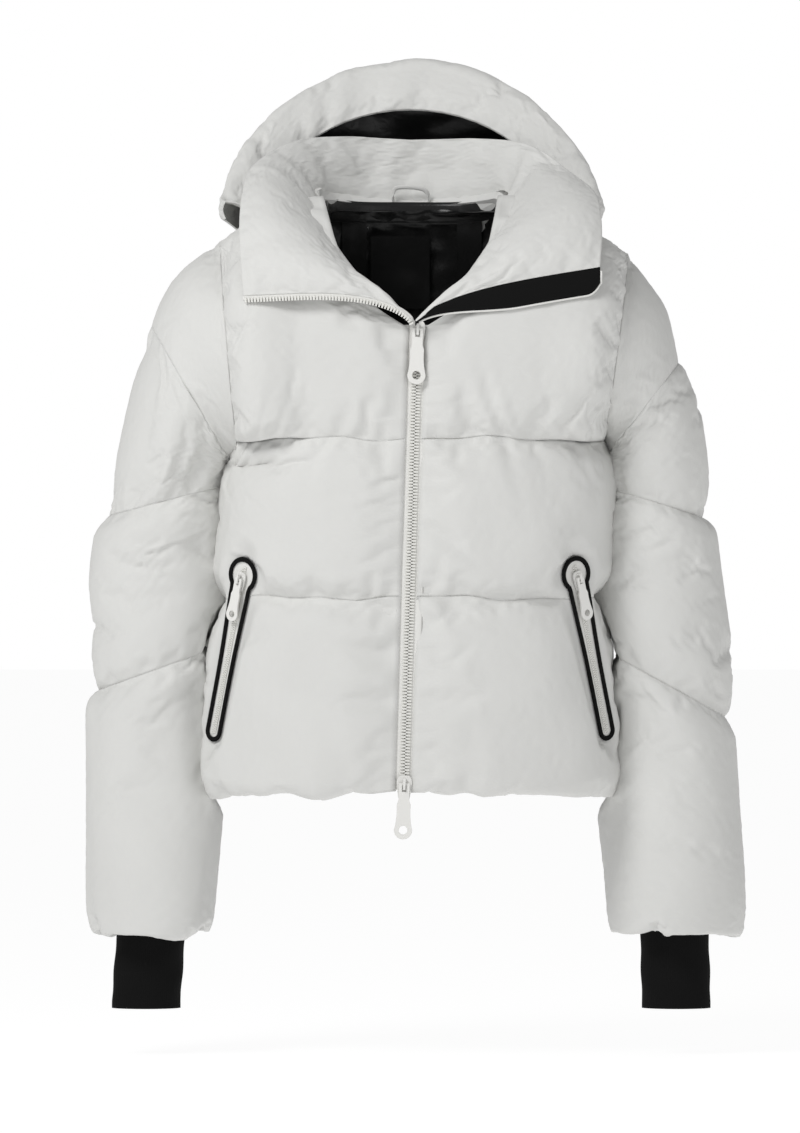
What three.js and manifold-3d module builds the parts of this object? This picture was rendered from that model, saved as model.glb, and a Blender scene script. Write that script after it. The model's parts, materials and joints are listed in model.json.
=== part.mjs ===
// Short down-filled ski jacket with a hood, modelled as it is put together: quilted chambers, linings,
// wrist gaiters, moulded zips with sliders and pulls, piped pockets, collar, hood, hanger loop and label.
// Millimetres. +Z is up, the front faces -Y, and +X is the wearer's left side.
// The origin is the middle of the back neck seam.
import * as THREE from 'three';
import { mergeVertices } from 'three/addons/utils/BufferGeometryUtils.js';
import Module from 'manifold-3d';

const wasm = await Module();
wasm.setup();

// ---------- driving dimensions ----------
const GAP = 0.6; // clearance between sewn neighbours
const SIDES = { right: -1, left: 1 }; // the wearer's sides

// Torso
const HEM_Z = -551;
const ROW_SEAMS_Z = [HEM_Z, -372, -225]; // horizontal quilting seams, from the hem up
const YOKE_SEAM_Z = -112; // extra seam across the back
const TORSO_CENTRE_Y = -62;
const TORSO_HALF_DEPTH = 116;
const TORSO_ROUNDNESS = 2.6; // superellipse power of the body's section
const HEM_HALF_WIDTH = 182;
const WAIST_HALF_WIDTH = 172;
const BODY_PUFF = 13; // how far a filled row swells past its seams
const SHELL_THICKNESS = 15;
const SHOULDER_ROUND_Z = -150; // the body starts to curve in to the shoulders here
const SHOULDER_POWER = 2.2;
const NECK_HALF_WIDTH = 82;
const NECK_SIDE_Z = 5;
const NECK_PEAK_Z = 28;
const NECK_V_Z = -119;
const ARMHOLE = {
  right: { top: [179, -38], armpit: [161, -245] },
  left: { top: [204, -50], armpit: [181, -226] },
};
const ARMHOLE_HALF_DEPTH = 80;

// Linings, inside the quilted shell
const LINING_THICKNESS = 2;
const LINING_INSET = SHELL_THICKNESS + 8.5;
const NECK_LINING_INSET = SHELL_THICKNESS + 4.5;
const BAG_INSET = SHELL_THICKNESS + 1; // the bags lie behind the filling
const BAG_THICKNESS = 3.5;

// Sleeves: each quilting seam runs from an outer to an inner point, as [x, z]
const SLEEVES = {
  right: {
    outer: [[186, -44], [243, -118], [284, -296], [293, -459], [292, -681]],
    inner: [[168, -238], [174, -249], [186, -266], [188, -416], [193, -681]],
    wrist: [248, -757],
  },
  left: {
    outer: [[211, -56], [251, -152], [274, -297], [295, -484], [303, -681]],
    inner: [[188, -219], [192, -238], [199, -268], [193, -418], [195, -681]],
    wrist: [249, -757],
  },
};
const SLEEVE_HALF_DEPTHS = [74, 74, 68, 62, 54];
const SLEEVE_CENTRE_Y = [-62, -58, -44, -44, -62];
const SLEEVE_PUFF = 7;
const BODY_CLEARANCE = 3; // between a sleeve and the body it hangs against
const HEM_FADE = 45; // below the hem the sleeve swings back in over this height
const SLEEVE_THICKNESS = 13;
const GAITER_HALF_WIDTH = 32;
const GAITER_HALF_DEPTH = 27;
const GAITER_THICKNESS = 3;
const GAITER_TOP_Z = -640;
const CUFF_TURN_IN = 14; // length over which the sleeve end closes in on the gaiter

// Front zip. It leans a little, so its parts stand in one turned group.
const ZIP_TOP = new THREE.Vector3(6.5, -187, -118);
const ZIP_FOOT = new THREE.Vector3(-6.2, -187, -551);
const CHAIN_HALF_WIDTH = 4.4;
const CHAIN_THICKNESS = 2.6;
const CHAIN_SPLIT = 1.8; // space between the two rows, where the slider's post runs
const TAPE_HALF_WIDTH = 12;
const TAPE_THICKNESS = 1;
const SLIDER = { length: 22, width: 14, plate: 1.8, post: 1, bridge: 2.4 };
const PULL = { length: 51, neck: 10, shoulder: 13, ring: 17, hole: 8, thickness: 2 };
const BOTTOM_SLIDER_Z = -536;

// Pockets: a straight line down the front, from the head to the foot
const POCKETS = {
  right: { head: [149, -351], foot: [176, -506] },
  left: { head: [147, -350], foot: [175, -505] },
};
const POCKET = { headRadius: 17, footRadius: 9.6, piping: 3.8, depth: 3.2, slot: 1.6, chain: 5.6 };
const POCKET_SCALE = 0.8; // pocket slider and pull against the front ones

// Collar and hood
const COLLAR_HEIGHT = 58;
const COLLAR_HALF_DEPTH = 70;
const COLLAR_FLARE = 0.27;
const COLLAR_THICKNESS = 13;
const COLLAR_SPAN = 76; // degrees each side of the middle back
const LAPEL_THICKNESS = 12;
const HOOD_HALF_WIDTH = 176;
const HOOD_HALF_DEPTH = 148;
const HOOD_CENTRE_Y = -58;
const HOOD_PEAK_Z = 140;
const HOOD_SEAM_X = 98; // from the middle back to the side panels
const HOOD_SPAN = 97;
const HOOD_THICKNESS = 14;
const BRIM_WIDTH = 42;

// ---------- colours ----------
const LOOKS = {
  shell: { color: 0xdededa, roughness: 0.6, metalness: 0 },
  lining: { color: 0x141414, roughness: 0.4, metalness: 0 },
  knit: { color: 0x151514, roughness: 0.85, metalness: 0 },
  binding: { color: 0x1a1919, roughness: 0.7, metalness: 0 },
  zip: { color: 0xe2e2de, roughness: 0.45, metalness: 0 },
  metal: { color: 0xe6e6e3, roughness: 0.35, metalness: 0.1 },
  label: { color: 0x101010, roughness: 0.55, metalness: 0 },
};

// ---------- small tools ----------
const model = new THREE.Group();

function addPiece(name, geometry, look, parent = model) {
  const material = new THREE.MeshStandardMaterial(LOOKS[look]);
  const mesh = new THREE.Mesh(geometry, material);
  mesh.name = name;
  parent.add(mesh);
  return mesh;
}

function mix(a, b, t) {
  return a + (b - a) * t;
}

function clamp01(value) {
  return Math.min(1, Math.max(0, value));
}

// A plain closed mesh that holds positions only, with its faces pointing out.
function closed(source) {
  const geometry = source.clone();
  geometry.deleteAttribute('normal');
  geometry.deleteAttribute('uv');
  const merged = mergeVertices(geometry, 1e-4);
  const position = merged.attributes.position;
  const index = merged.index.array;
  const kept = [];
  let volume = 0;
  const [a, b, c] = [new THREE.Vector3(), new THREE.Vector3(), new THREE.Vector3()];
  for (let i = 0; i < index.length; i += 3) {
    const [p, q, r] = [index[i], index[i + 1], index[i + 2]];
    if (p === q || q === r || r === p) continue;
    kept.push(p, q, r);
    a.fromBufferAttribute(position, p);
    b.fromBufferAttribute(position, q);
    c.fromBufferAttribute(position, r);
    volume += a.dot(b.cross(c));
  }
  if (volume < 0) kept.reverse();
  merged.setIndex(kept);
  return merged;
}

// Bends a geometry: place(point) moves each of its points.
function bent(source, place) {
  const geometry = source.clone();
  const position = geometry.attributes.position;
  const point = new THREE.Vector3();
  for (let i = 0; i < position.count; i += 1) {
    point.fromBufferAttribute(position, i);
    const moved = place(point);
    position.setXYZ(i, moved.x, moved.y, moved.z);
  }
  return closed(geometry);
}

function solid(geometry) {
  const merged = closed(geometry);
  return new wasm.Manifold(new wasm.Mesh({
    numProp: 3,
    vertProperties: new Float32Array(merged.attributes.position.array),
    triVerts: new Uint32Array(merged.index.array),
  }));
}

function geometryOf(body) {
  const mesh = body.getMesh();
  const geometry = new THREE.BufferGeometry();
  geometry.setAttribute('position', new THREE.BufferAttribute(mesh.vertProperties, 3));
  geometry.setIndex(new THREE.BufferAttribute(mesh.triVerts, 1));
  return geometry;
}

function joined(geometries) {
  return geometryOf(geometries.map(solid).reduce((sum, next) => sum.add(next)));
}

function cut(geometry, tools) {
  return geometryOf(tools.map(solid).reduce((rest, tool) => rest.subtract(tool), solid(geometry)));
}

// A curved slab: across and along run from 0 to 1, layer is 0 on the outside and 1 on the inside.
function slab(across, along, point) {
  const box = new THREE.BoxGeometry(1, 1, 1, across, along, 1);
  return bent(box, (p) => point(p.x + 0.5, p.y + 0.5, p.z < 0 ? 1 : 0));
}

// A hollow tube: turn is an angle, along runs from 0 to 1, layer is 0 outside and 1 inside.
function tube(around, along, point) {
  const profile = [];
  for (let i = 0; i <= along; i += 1) profile.push(new THREE.Vector2(1, i / along));
  for (let i = along; i >= 0; i -= 1) profile.push(new THREE.Vector2(2, i / along));
  profile.push(profile[0].clone());
  const lathe = new THREE.LatheGeometry(profile, around);
  return bent(lathe, (p) => point(Math.atan2(p.x, p.z), p.y, Math.hypot(p.x, p.z) < 1.5 ? 1 : 0));
}

// A slab of even thickness behind surface(u, v); the sign says on which side of it.
function padded(surface, thickness, across, along) {
  const step = 1e-3;
  return slab(across, along, (u, v, layer) => {
    const at = surface(u, v);
    if (layer === 0) return at;
    const du = surface(Math.min(1, u + step), v).sub(surface(Math.max(0, u - step), v));
    const dv = surface(u, Math.min(1, v + step)).sub(surface(u, Math.max(0, v - step)));
    return at.add(du.cross(dv).normalize().multiplyScalar(thickness));
  });
}

function curveThrough(points) {
  return new THREE.CatmullRomCurve3(points.map((p) => new THREE.Vector3(...p)), false, 'centripetal');
}

// The straight or curved strip between two edges.
function strip(first, second, u, v) {
  return first.getPoint(v).lerp(second.getPoint(v), u);
}

// A cord or piping along a curve.
function cordAlong(points, radius, sides, steps) {
  const section = new THREE.Shape();
  for (let i = 0; i < sides; i += 1) {
    const turn = (i / sides) * 2 * Math.PI;
    const move = i === 0 ? 'moveTo' : 'lineTo';
    section[move](radius * Math.cos(turn), radius * Math.sin(turn));
  }
  section.closePath();
  return new THREE.ExtrudeGeometry(section, { steps, extrudePath: curveThrough(points) });
}

// ---------- the body's surface ----------
function shoulderZ(x) {
  const distance = Math.abs(x);
  if (distance < NECK_HALF_WIDTH) return mix(NECK_PEAK_Z, NECK_SIDE_Z, (distance / NECK_HALF_WIDTH) ** 2);
  const side = x < 0 ? 'right' : 'left';
  const [topX, topZ] = ARMHOLE[side].top;
  return mix(NECK_SIDE_Z, topZ, (distance - NECK_HALF_WIDTH) / (topX - NECK_HALF_WIDTH));
}

// Half width of the body at a height: it ends at the armhole above the armpit.
function halfWidth(z, side) {
  const { top, armpit } = ARMHOLE[side];
  if (z > armpit[1]) return mix(armpit[0], top[0], clamp01((z - armpit[1]) / (top[1] - armpit[1])));
  if (z > ROW_SEAMS_Z[1]) {
    return mix(WAIST_HALF_WIDTH, armpit[0], (z - ROW_SEAMS_Z[1]) / (armpit[1] - ROW_SEAMS_Z[1]));
  }
  return mix(HEM_HALF_WIDTH, WAIST_HALF_WIDTH, clamp01((z - HEM_Z) / (ROW_SEAMS_Z[1] - HEM_Z)));
}

// Half depth of the armhole at a height.
function armholeDepth(z, side) {
  const { top, armpit } = ARMHOLE[side];
  const middle = (top[1] + armpit[1]) / 2;
  const half = (top[1] - armpit[1]) / 2;
  return ARMHOLE_HALF_DEPTH * Math.sqrt(Math.max(0, 1 - ((z - middle) / half) ** 2));
}

// How far a row has swollen at a height between its two seams.
function puff(z, low, high, amount) {
  const t = clamp01((z - low) / (high - low));
  return amount * Math.sqrt(4 * t * (1 - t));
}

// A point of the body, inset from the seam surface. facing is -1 in front and 1 behind.
function bodyPoint(x, z, side, facing, inset, swell) {
  const reach = halfWidth(z, side);
  const share = clamp01(Math.abs(x) / reach);
  const round = (1 - share ** TORSO_ROUNDNESS) ** (1 / TORSO_ROUNDNESS);
  const edge = armholeDepth(z, side);
  const height = clamp01((z - SHOULDER_ROUND_Z) / (shoulderZ(x) - SHOULDER_ROUND_Z));
  const closing = (1 - height ** SHOULDER_POWER) ** (1 / SHOULDER_POWER);
  const open = edge > 0 ? edge / ARMHOLE_HALF_DEPTH : 0;
  const depth = (edge + (TORSO_HALF_DEPTH - edge) * round) * closing;
  const grow = swell - inset;
  const atRidge = 1 - closing;
  const atSide = (1 - round) * (1 - open);
  const y = TORSO_CENTRE_Y + facing * Math.max(0.3, depth + grow * (1 - 0.9 * atSide) * (1 - atRidge));
  const outward = Math.sign(x || 1) * grow * share ** 3 * (1 - open);
  return new THREE.Vector3(x + outward, y, z + grow * atRidge);
}

// Height of the back neck seam at x.
function backNeckZ(x) {
  return mix(0, NECK_SIDE_Z, (Math.abs(x) / NECK_HALF_WIDTH) ** 2);
}

function zipX(z) {
  return mix(ZIP_TOP.x, ZIP_FOOT.x, (z - ZIP_TOP.z) / (ZIP_FOOT.z - ZIP_TOP.z));
}

// ---------- torso ----------
const neckline = new THREE.SplineCurve([
  [0, -119], [34, -97], [57, -66], [70, -38], [NECK_HALF_WIDTH, NECK_SIDE_Z],
].map(([x, z]) => new THREE.Vector2(x, z)));

function frontEdge(v, side) {
  const bend = 0.45;
  const edge = TAPE_HALF_WIDTH + GAP;
  const sign = SIDES[side];
  if (v < bend) {
    const z = mix(ROW_SEAMS_Z[2], NECK_V_Z - 6, v / bend);
    return new THREE.Vector2(edge + sign * zipX(z), z);
  }
  const t = (v - bend) / (1 - bend);
  const at = neckline.getPoint(t);
  const shift = (edge + sign * zipX(NECK_V_Z)) * (1 - t);
  return new THREE.Vector2(at.x + shift, at.y - 6 * (1 - t));
}

function armholeEdge(v, side) {
  const [topX, topZ] = ARMHOLE[side].top;
  return new THREE.Vector2(0, mix(ROW_SEAMS_Z[2], topZ, Math.sin((v * Math.PI) / 2))).setX(topX);
}

function spreadAcross(u) {
  return Math.sin((u * Math.PI) / 2) ** 0.8;
}

function frontYoke(side, inset, thickness, swell) {
  return slab(8, 7, (u, v, layer) => {
    const inner = frontEdge(v, side);
    const outerZ = armholeEdge(v, side).y;
    const share = spreadAcross(u);
    const z = mix(inner.y, outerZ, share) + (v === 0 ? GAP / 2 : 0);
    const x = mix(inner.x, halfWidth(z, side), share) * SIDES[side];
    const height = puff(v, 0, 1, swell) * Math.sqrt(Math.sin(Math.PI * clamp01(u * 0.9 + 0.05)));
    const at = bodyPoint(x, z, side, -1, inset + layer * thickness, height * (1 - layer));
    at.y -= GAP / 2;
    return at;
  });
}

function frontRow(side, low, high, inset, thickness, swell, rows = 5) {
  return slab(8, rows, (u, v, layer) => {
    const z = mix(low + GAP / 2, high - GAP / 2, v);
    const edge = TAPE_HALF_WIDTH + GAP + SIDES[side] * zipX(z);
    const x = mix(edge, halfWidth(z, side), spreadAcross(u)) * SIDES[side];
    const height = puff(v, 0, 1, swell) * Math.sqrt(Math.sin(Math.PI * clamp01(0.08 + u * 0.5)));
    const at = bodyPoint(x, z, side, -1, inset + layer * thickness, height * (1 - layer));
    at.y -= GAP / 2;
    return at;
  });
}

function backRow(low, high, inset, thickness, swell, rows = 6) {
  return slab(14, rows, (u, v, layer) => {
    const across = u * 2 - 1;
    const side = across < 0 ? 'right' : 'left';
    const topX = Math.abs(across) * ARMHOLE[side].top[0];
    const topZ = topX < NECK_HALF_WIDTH ? backNeckZ(topX) : shoulderZ(topX * SIDES[side]);
    const top = high === null ? topZ : high - GAP / 2;
    const rise = high === null ? Math.sin((v * Math.PI) / 2) : v;
    const z = mix(low + GAP / 2, top, rise);
    const reach = halfWidth(z, side);
    const share = high === null ? Math.abs(across) : spreadAcross(Math.abs(across));
    const height = puff(v, 0, 1, swell);
    const at = bodyPoint(share * reach * Math.sign(across), z, side, 1,
      inset + layer * thickness, height * (1 - layer));
    at.y += GAP / 2;
    return at;
  });
}

// ---------- pockets ----------
// A frame on the body's front: its local Z runs up the zip and its local -Y faces out.
function pocketFrame(side) {
  const { head, foot } = POCKETS[side];
  const on = ([x, z]) => bodyPoint(x * SIDES[side], z, side, -1, 0, BODY_PUFF * 0.75);
  const [top, low] = [on(head), on(foot)];
  const up = top.clone().sub(low).normalize();
  const middle = mix(head[1], foot[1], 0.5);
  const near = bodyPoint((head[0] - 60) * SIDES[side], middle, side, -1, 0, 0);
  const far = bodyPoint((foot[0] - 5) * SIDES[side], middle, side, -1, 0, 0);
  const across = far.sub(near).multiplyScalar(SIDES[side]);
  const inward = up.clone().cross(across).normalize();
  const right = inward.clone().cross(up).normalize();
  const frame = new THREE.Group();
  frame.matrix.makeBasis(right, inward, up).setPosition(top);
  frame.matrix.decompose(frame.position, frame.quaternion, frame.scale);
  frame.userData.length = top.distanceTo(low);
  return frame;
}

// Keyhole outline around the zip: a round head at the origin and a narrow foot below it.
function keyhole(length, grow) {
  const outline = new THREE.Shape();
  const head = POCKET.headRadius - POCKET.piping + grow;
  const foot = POCKET.footRadius - POCKET.piping + grow;
  const low = -length + POCKET.footRadius;
  const lean = 0.9;
  outline.moveTo(foot, low);
  outline.bezierCurveTo(foot, low * 0.5, foot, -head * 2.4, head * Math.cos(lean), -head * Math.sin(lean));
  outline.absarc(0, 0, head, -lean, Math.PI + lean, false);
  outline.bezierCurveTo(-foot, -head * 2.4, -foot, low * 0.5, -foot, low);
  outline.absarc(0, low, foot, Math.PI, 2 * Math.PI, false);
  return outline;
}

// Extrudes an outline drawn in x and z from y = from, through depth, away from the wearer.
function plate(outline, from, depth, curveSegments = 6) {
  const geometry = new THREE.ExtrudeGeometry(outline, { depth, bevelEnabled: false, curveSegments });
  geometry.rotateX(Math.PI / 2);
  geometry.translate(0, from, 0);
  return geometry;
}

function pocketPiping(length) {
  const ring = keyhole(length, POCKET.piping);
  ring.holes.push(new THREE.Path(keyhole(length, 0).getPoints(6)));
  return plate(ring, 0.6, POCKET.depth);
}

function pocketZip(length) {
  const band = keyhole(length, -0.5);
  const half = POCKET.slot / 2;
  const [high, low] = [POCKET.headRadius - 8, -length + POCKET.footRadius - 1];
  const slot = new THREE.Path();
  slot.moveTo(-half, low).lineTo(half, low).lineTo(half, high).lineTo(-half, high).closePath();
  band.holes.push(slot);
  const rows = [-1, 1].map((sign) => {
    const width = POCKET.chain / 2 - half;
    const row = new THREE.BoxGeometry(width, 1.4, high - low);
    return row.translate(sign * (half + width / 2), -0.9, (high + low) / 2);
  });
  return joined([plate(band, 0.4, 0.9), ...rows]);
}

// ---------- sliders and pulls ----------
// Sizes are for the front zip; scale makes the pocket's. Local Z is up and the chain's middle is y = 0.
function shieldOutline(length, width, scale) {
  const [l, w] = [length * scale, (width / 2) * scale];
  const outline = new THREE.Shape();
  outline.moveTo(-w * 0.72, -l);
  outline.lineTo(w * 0.72, -l);
  outline.quadraticCurveTo(w, -l * 0.5, w, -l * 0.25);
  outline.quadraticCurveTo(w * 0.9, 0, w * 0.35, 0);
  outline.lineTo(-w * 0.35, 0);
  outline.quadraticCurveTo(-w * 0.9, 0, -w, -l * 0.25);
  outline.quadraticCurveTo(-w, -l * 0.5, -w * 0.72, -l);
  return outline;
}

function sliderBody(chainFront, chainBack, scale, flip) {
  const { length, width, plate: thick, post, bridge } = SLIDER;
  const wing = (y) => plate(shieldOutline(length, width, scale), y, thick * scale, 4);
  const front = wing(-chainFront);
  const back = wing(chainBack + thick * scale);
  const span = chainFront + chainBack + 2 * thick * scale - 0.4;
  const middle = (chainBack - chainFront) / 2;
  const stem = new THREE.BoxGeometry(post, span, 6 * scale);
  stem.translate(0, middle, flip ? -length * scale + 4 * scale : -4 * scale);
  const face = -chainFront - thick * scale;
  const foot = (z) => new THREE.BoxGeometry(bridge * scale, 4.4, 1.8 * scale).translate(0, face - 1.9, z);
  const axle = pullAxis(scale);
  const bar = new THREE.BoxGeometry(bridge * scale, 1.6, 10.6 * scale).translate(0, face - 4.4, axle);
  return joined([front, back, stem, foot(axle + 4.4 * scale), foot(axle - 4.4 * scale), bar]);
}

function pullAxis(scale) {
  return -8 * scale;
}

// The pull hangs from a bar under the slider's bridge, about the local X axis through its own origin.
function pullTab(scale) {
  const { length, neck, ring, hole, thickness } = PULL;
  const [n, r] = [(neck / 2) * scale, (ring / 2) * scale];
  const low = (-length + ring / 2) * scale;
  const outline = new THREE.Shape();
  const s = (PULL.shoulder / 2) * scale;
  outline.moveTo(-n, 1);
  outline.lineTo(-n, -15 * scale);
  outline.lineTo(-s, -19 * scale);
  outline.quadraticCurveTo(-s * 0.85, -30 * scale, -r, low);
  outline.absarc(0, low, r, Math.PI, 2 * Math.PI, false);
  outline.quadraticCurveTo(s * 0.85, -30 * scale, s, -19 * scale);
  outline.lineTo(n, -15 * scale);
  outline.lineTo(n, 1);
  outline.closePath();
  const eye = new THREE.Path();
  const half = 2 * scale;
  eye.moveTo(-half, -1).lineTo(half, -1).lineTo(half, -7 * scale).lineTo(-half, -7 * scale).closePath();
  const finger = new THREE.Path();
  finger.absarc(0, low, (hole / 2) * scale, 0, 2 * Math.PI, true);
  outline.holes.push(eye, finger);
  return plate(outline, thickness / 2, thickness, 6);
}

const PULL_OFFSET = 2.1; // pull's axis in front of the slider's face

function addSlider(name, parent, top, scale, chainFront, chainBack, flip) {
  const body = addPiece(`${name}_slider`, sliderBody(chainFront, chainBack, scale, flip), 'metal', parent);
  body.position.set(0, 0, top);
  const pull = addPiece(`${name}_pull`, pullTab(scale), 'metal', parent);
  pull.position.set(0, -chainFront - SLIDER.plate * scale - PULL_OFFSET, top + pullAxis(scale));
  return body;
}

// ---------- assembly: torso ----------
function pocketCutters(side) {
  const frame = pocketFrame(side);
  const outline = keyhole(frame.userData.length, POCKET.piping + GAP);
  const cutter = plate(outline, 40, 80);
  frame.updateMatrixWorld(true);
  return [cutter.applyMatrix4(frame.matrixWorld)];
}

for (const side of Object.keys(SIDES)) {
  const [hem, waist, chest] = ROW_SEAMS_Z;
  addPiece(`front_chest_baffle_${side}`, frontYoke(side, 0, SHELL_THICKNESS, BODY_PUFF * 0.8), 'shell');
  const middleRow = frontRow(side, waist, chest, 0, SHELL_THICKNESS, BODY_PUFF);
  addPiece(`front_waist_baffle_${side}`, cut(middleRow, pocketCutters(side)), 'shell');
  const lowRow = frontRow(side, hem, waist, 0, SHELL_THICKNESS, BODY_PUFF);
  addPiece(`front_hem_baffle_${side}`, cut(lowRow, pocketCutters(side)), 'shell');
  const armpitZ = ARMHOLE[side].armpit[1] - 4;
  const lining = frontRow(side, hem + 12, armpitZ, LINING_INSET, LINING_THICKNESS, 0, 9);
  addPiece(`front_lining_${side}`, lining, 'lining');
  addPiece(`chest_lining_${side}`, frontYoke(side, NECK_LINING_INSET, LINING_THICKNESS, 0), 'lining');
}
const BACK_SEAMS_Z = [...ROW_SEAMS_Z, YOKE_SEAM_Z, null];
['hem', 'waist', 'chest', 'yoke'].forEach((row, i) => {
  const swell = BODY_PUFF * (row === 'yoke' ? 0.6 : 1);
  const geometry = backRow(BACK_SEAMS_Z[i], BACK_SEAMS_Z[i + 1], 0, SHELL_THICKNESS, swell, i > 1 ? 6 : 4);
  addPiece(`back_${row}_baffle`, geometry, 'shell');
});
addPiece('back_lining', backRow(HEM_Z + 12, YOKE_SEAM_Z, LINING_INSET, LINING_THICKNESS, 0, 12), 'lining');
addPiece('neck_lining', backRow(YOKE_SEAM_Z, null, NECK_LINING_INSET, LINING_THICKNESS, 0, 8), 'lining');

// ---------- assembly: sleeves ----------
function sleevePoint(side, ring, turn, inset, swell) {
  const { outer, inner } = SLEEVES[side];
  const knots = outer.length - 1;
  const t = ring / knots;
  const out = new THREE.SplineCurve(outer.map((p) => new THREE.Vector2(...p))).getPoint(t);
  const inn = new THREE.SplineCurve(inner.map((p) => new THREE.Vector2(...p))).getPoint(t);
  const low = Math.min(knots - 1, Math.floor(ring));
  const share = ring - low;
  const depth = mix(SLEEVE_HALF_DEPTHS[low], SLEEVE_HALF_DEPTHS[low + 1], share);
  const middleY = mix(SLEEVE_CENTRE_Y[low], SLEEVE_CENTRE_Y[low + 1], share);
  const arm = out.clone().sub(inn).multiplyScalar(0.5);
  const half = arm.length();
  const grow = swell - inset;
  const wide = (half + grow * (Math.cos(turn) < 0 ? 0.5 : 1)) / half;
  const x = (out.x + inn.x) / 2 + arm.x * Math.cos(turn) * wide;
  const z = (out.y + inn.y) / 2 + arm.y * Math.cos(turn) * wide;
  const y = middleY + (depth + grow) * Math.sin(turn);
  return new THREE.Vector3(Math.max(x, bodySide(y, z, side, ring) + inset) * SIDES[side], y, z);
}

// How far out the body reaches at y and z, with the clearance that a sleeve keeps from it. The forearm
// swings past the body's whole side, so its inner wall is flat.
function bodySide(y, z, side, ring) {
  const spread = rowPuff(z) + BODY_CLEARANCE;
  const share = clamp01(Math.abs(y - TORSO_CENTRE_Y) / (TORSO_HALF_DEPTH + spread));
  const round = (1 - share ** TORSO_ROUNDNESS) ** (1 / TORSO_ROUNDNESS);
  const fade = clamp01((HEM_Z - 4 - z) / HEM_FADE);
  if (z > ARMHOLE[side].armpit[1] - 12) return 0;
  const hugging = (halfWidth(z, side) + spread) * round;
  const flat = HEM_HALF_WIDTH + BODY_PUFF;
  return mix(hugging, flat, clamp01((ring - 2.3) / 0.6)) - 30 * fade;
}

function rowPuff(z) {
  const row = ROW_SEAMS_Z.findIndex((low, i) => z >= low && z < (ROW_SEAMS_Z[i + 1] ?? 0));
  return row < 0 ? 0 : puff(z, ROW_SEAMS_Z[row], ROW_SEAMS_Z[row + 1] ?? 0, BODY_PUFF);
}

function sleeveRing(side, from, to, inset, thickness, swell, around = 16, along = 4) {
  return tube(around, along, (turn, t, layer) => {
    const ring = mix(from, to, t);
    const height = puff(t, 0, 1, swell) * (1 - layer);
    return sleevePoint(side, ring, turn, inset + layer * thickness, height);
  });
}

const RING_SEAM = 0.006; // share of a ring's length left open at its end

function forearmEnd(side) {
  const last = SLEEVES[side].outer.length - 1;
  const start = last - 1 + RING_SEAM / 2;
  const zEnd = SLEEVES[side].outer[last][1];
  return tube(16, 6, (turn, t, layer) => {
    const at = sleevePoint(side, mix(start, last, t), turn, layer * SLEEVE_THICKNESS,
      puff(t, 0, 1, SLEEVE_PUFF) * (1 - layer));
    if (layer === 1 && at.z < zEnd + CUFF_TURN_IN) {
      const rim = gaiterPoint(side, turn, at.z, -GAP);
      const share = clamp01((zEnd + CUFF_TURN_IN - at.z) / CUFF_TURN_IN) ** 0.5;
      at.lerp(rim, share);
    }
    return at;
  });
}

function gaiterPoint(side, turn, z, inset) {
  const last = SLEEVES[side].outer.length - 1;
  const mouth = (SLEEVES[side].outer[last][0] + SLEEVES[side].inner[last][0]) / 2;
  const centreX = mix(mouth, SLEEVES[side].wrist[0], clamp01((-650 - z) / 100));
  const y = SLEEVE_CENTRE_Y[last] + (GAITER_HALF_DEPTH - inset) * Math.sin(turn);
  return new THREE.Vector3((centreX + (GAITER_HALF_WIDTH - inset) * Math.cos(turn)) * SIDES[side], y, z);
}

for (const side of Object.keys(SIDES)) {
  const rings = ['shoulder', 'upper', 'elbow'];
  rings.forEach((ring, i) => {
    const geometry = sleeveRing(side, i + RING_SEAM, i + 1 - RING_SEAM, 0, SLEEVE_THICKNESS, SLEEVE_PUFF);
    addPiece(`sleeve_${ring}_baffle_${side}`, geometry, 'shell');
  });
  addPiece(`sleeve_forearm_baffle_${side}`, forearmEnd(side), 'shell');
  const gaiter = tube(16, 2, (turn, t, layer) =>
    gaiterPoint(side, turn, mix(GAITER_TOP_Z, SLEEVES[side].wrist[1], t), layer * GAITER_THICKNESS));
  addPiece(`wrist_gaiter_${side}`, gaiter, 'knit');
  addPiece(`sleeve_lining_${side}`, sleeveRing(side, 0.15, 2.95, SLEEVE_THICKNESS + 6, LINING_THICKNESS, 0, 12, 6),
    'lining');
}

// ---------- assembly: front zip ----------
const zipLength = ZIP_TOP.distanceTo(ZIP_FOOT);
const frontZip = new THREE.Group();
frontZip.position.copy(ZIP_TOP);
frontZip.rotation.y = Math.atan2(ZIP_TOP.x - ZIP_FOOT.x, ZIP_TOP.z - ZIP_FOOT.z);
model.add(frontZip);
for (const side of Object.keys(SIDES)) {
  const rowWidth = CHAIN_HALF_WIDTH - CHAIN_SPLIT / 2;
  const row = new THREE.BoxGeometry(rowWidth, CHAIN_THICKNESS, zipLength - 6);
  row.translate(SIDES[side] * (CHAIN_SPLIT / 2 + rowWidth / 2), 0, -zipLength / 2 - 2);
  const tapeWidth = TAPE_HALF_WIDTH - CHAIN_HALF_WIDTH + 1;
  const tape = new THREE.BoxGeometry(tapeWidth, TAPE_THICKNESS, zipLength - 6);
  tape.translate(SIDES[side] * (TAPE_HALF_WIDTH - tapeWidth / 2), 0, -zipLength / 2 - 2);
  addPiece(`front_zip_${side}`, joined([row, tape]), 'zip', frontZip);
}
const chainHalf = CHAIN_THICKNESS / 2 + 0.3;
const TOP_SLIDER_AT = 2;
const bottomSliderAt = BOTTOM_SLIDER_Z - ZIP_TOP.z;
addSlider('front_zip_top', frontZip, TOP_SLIDER_AT, 1, chainHalf, chainHalf, false);
addSlider('front_zip_bottom', frontZip, bottomSliderAt, 1, chainHalf, chainHalf, true);

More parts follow.
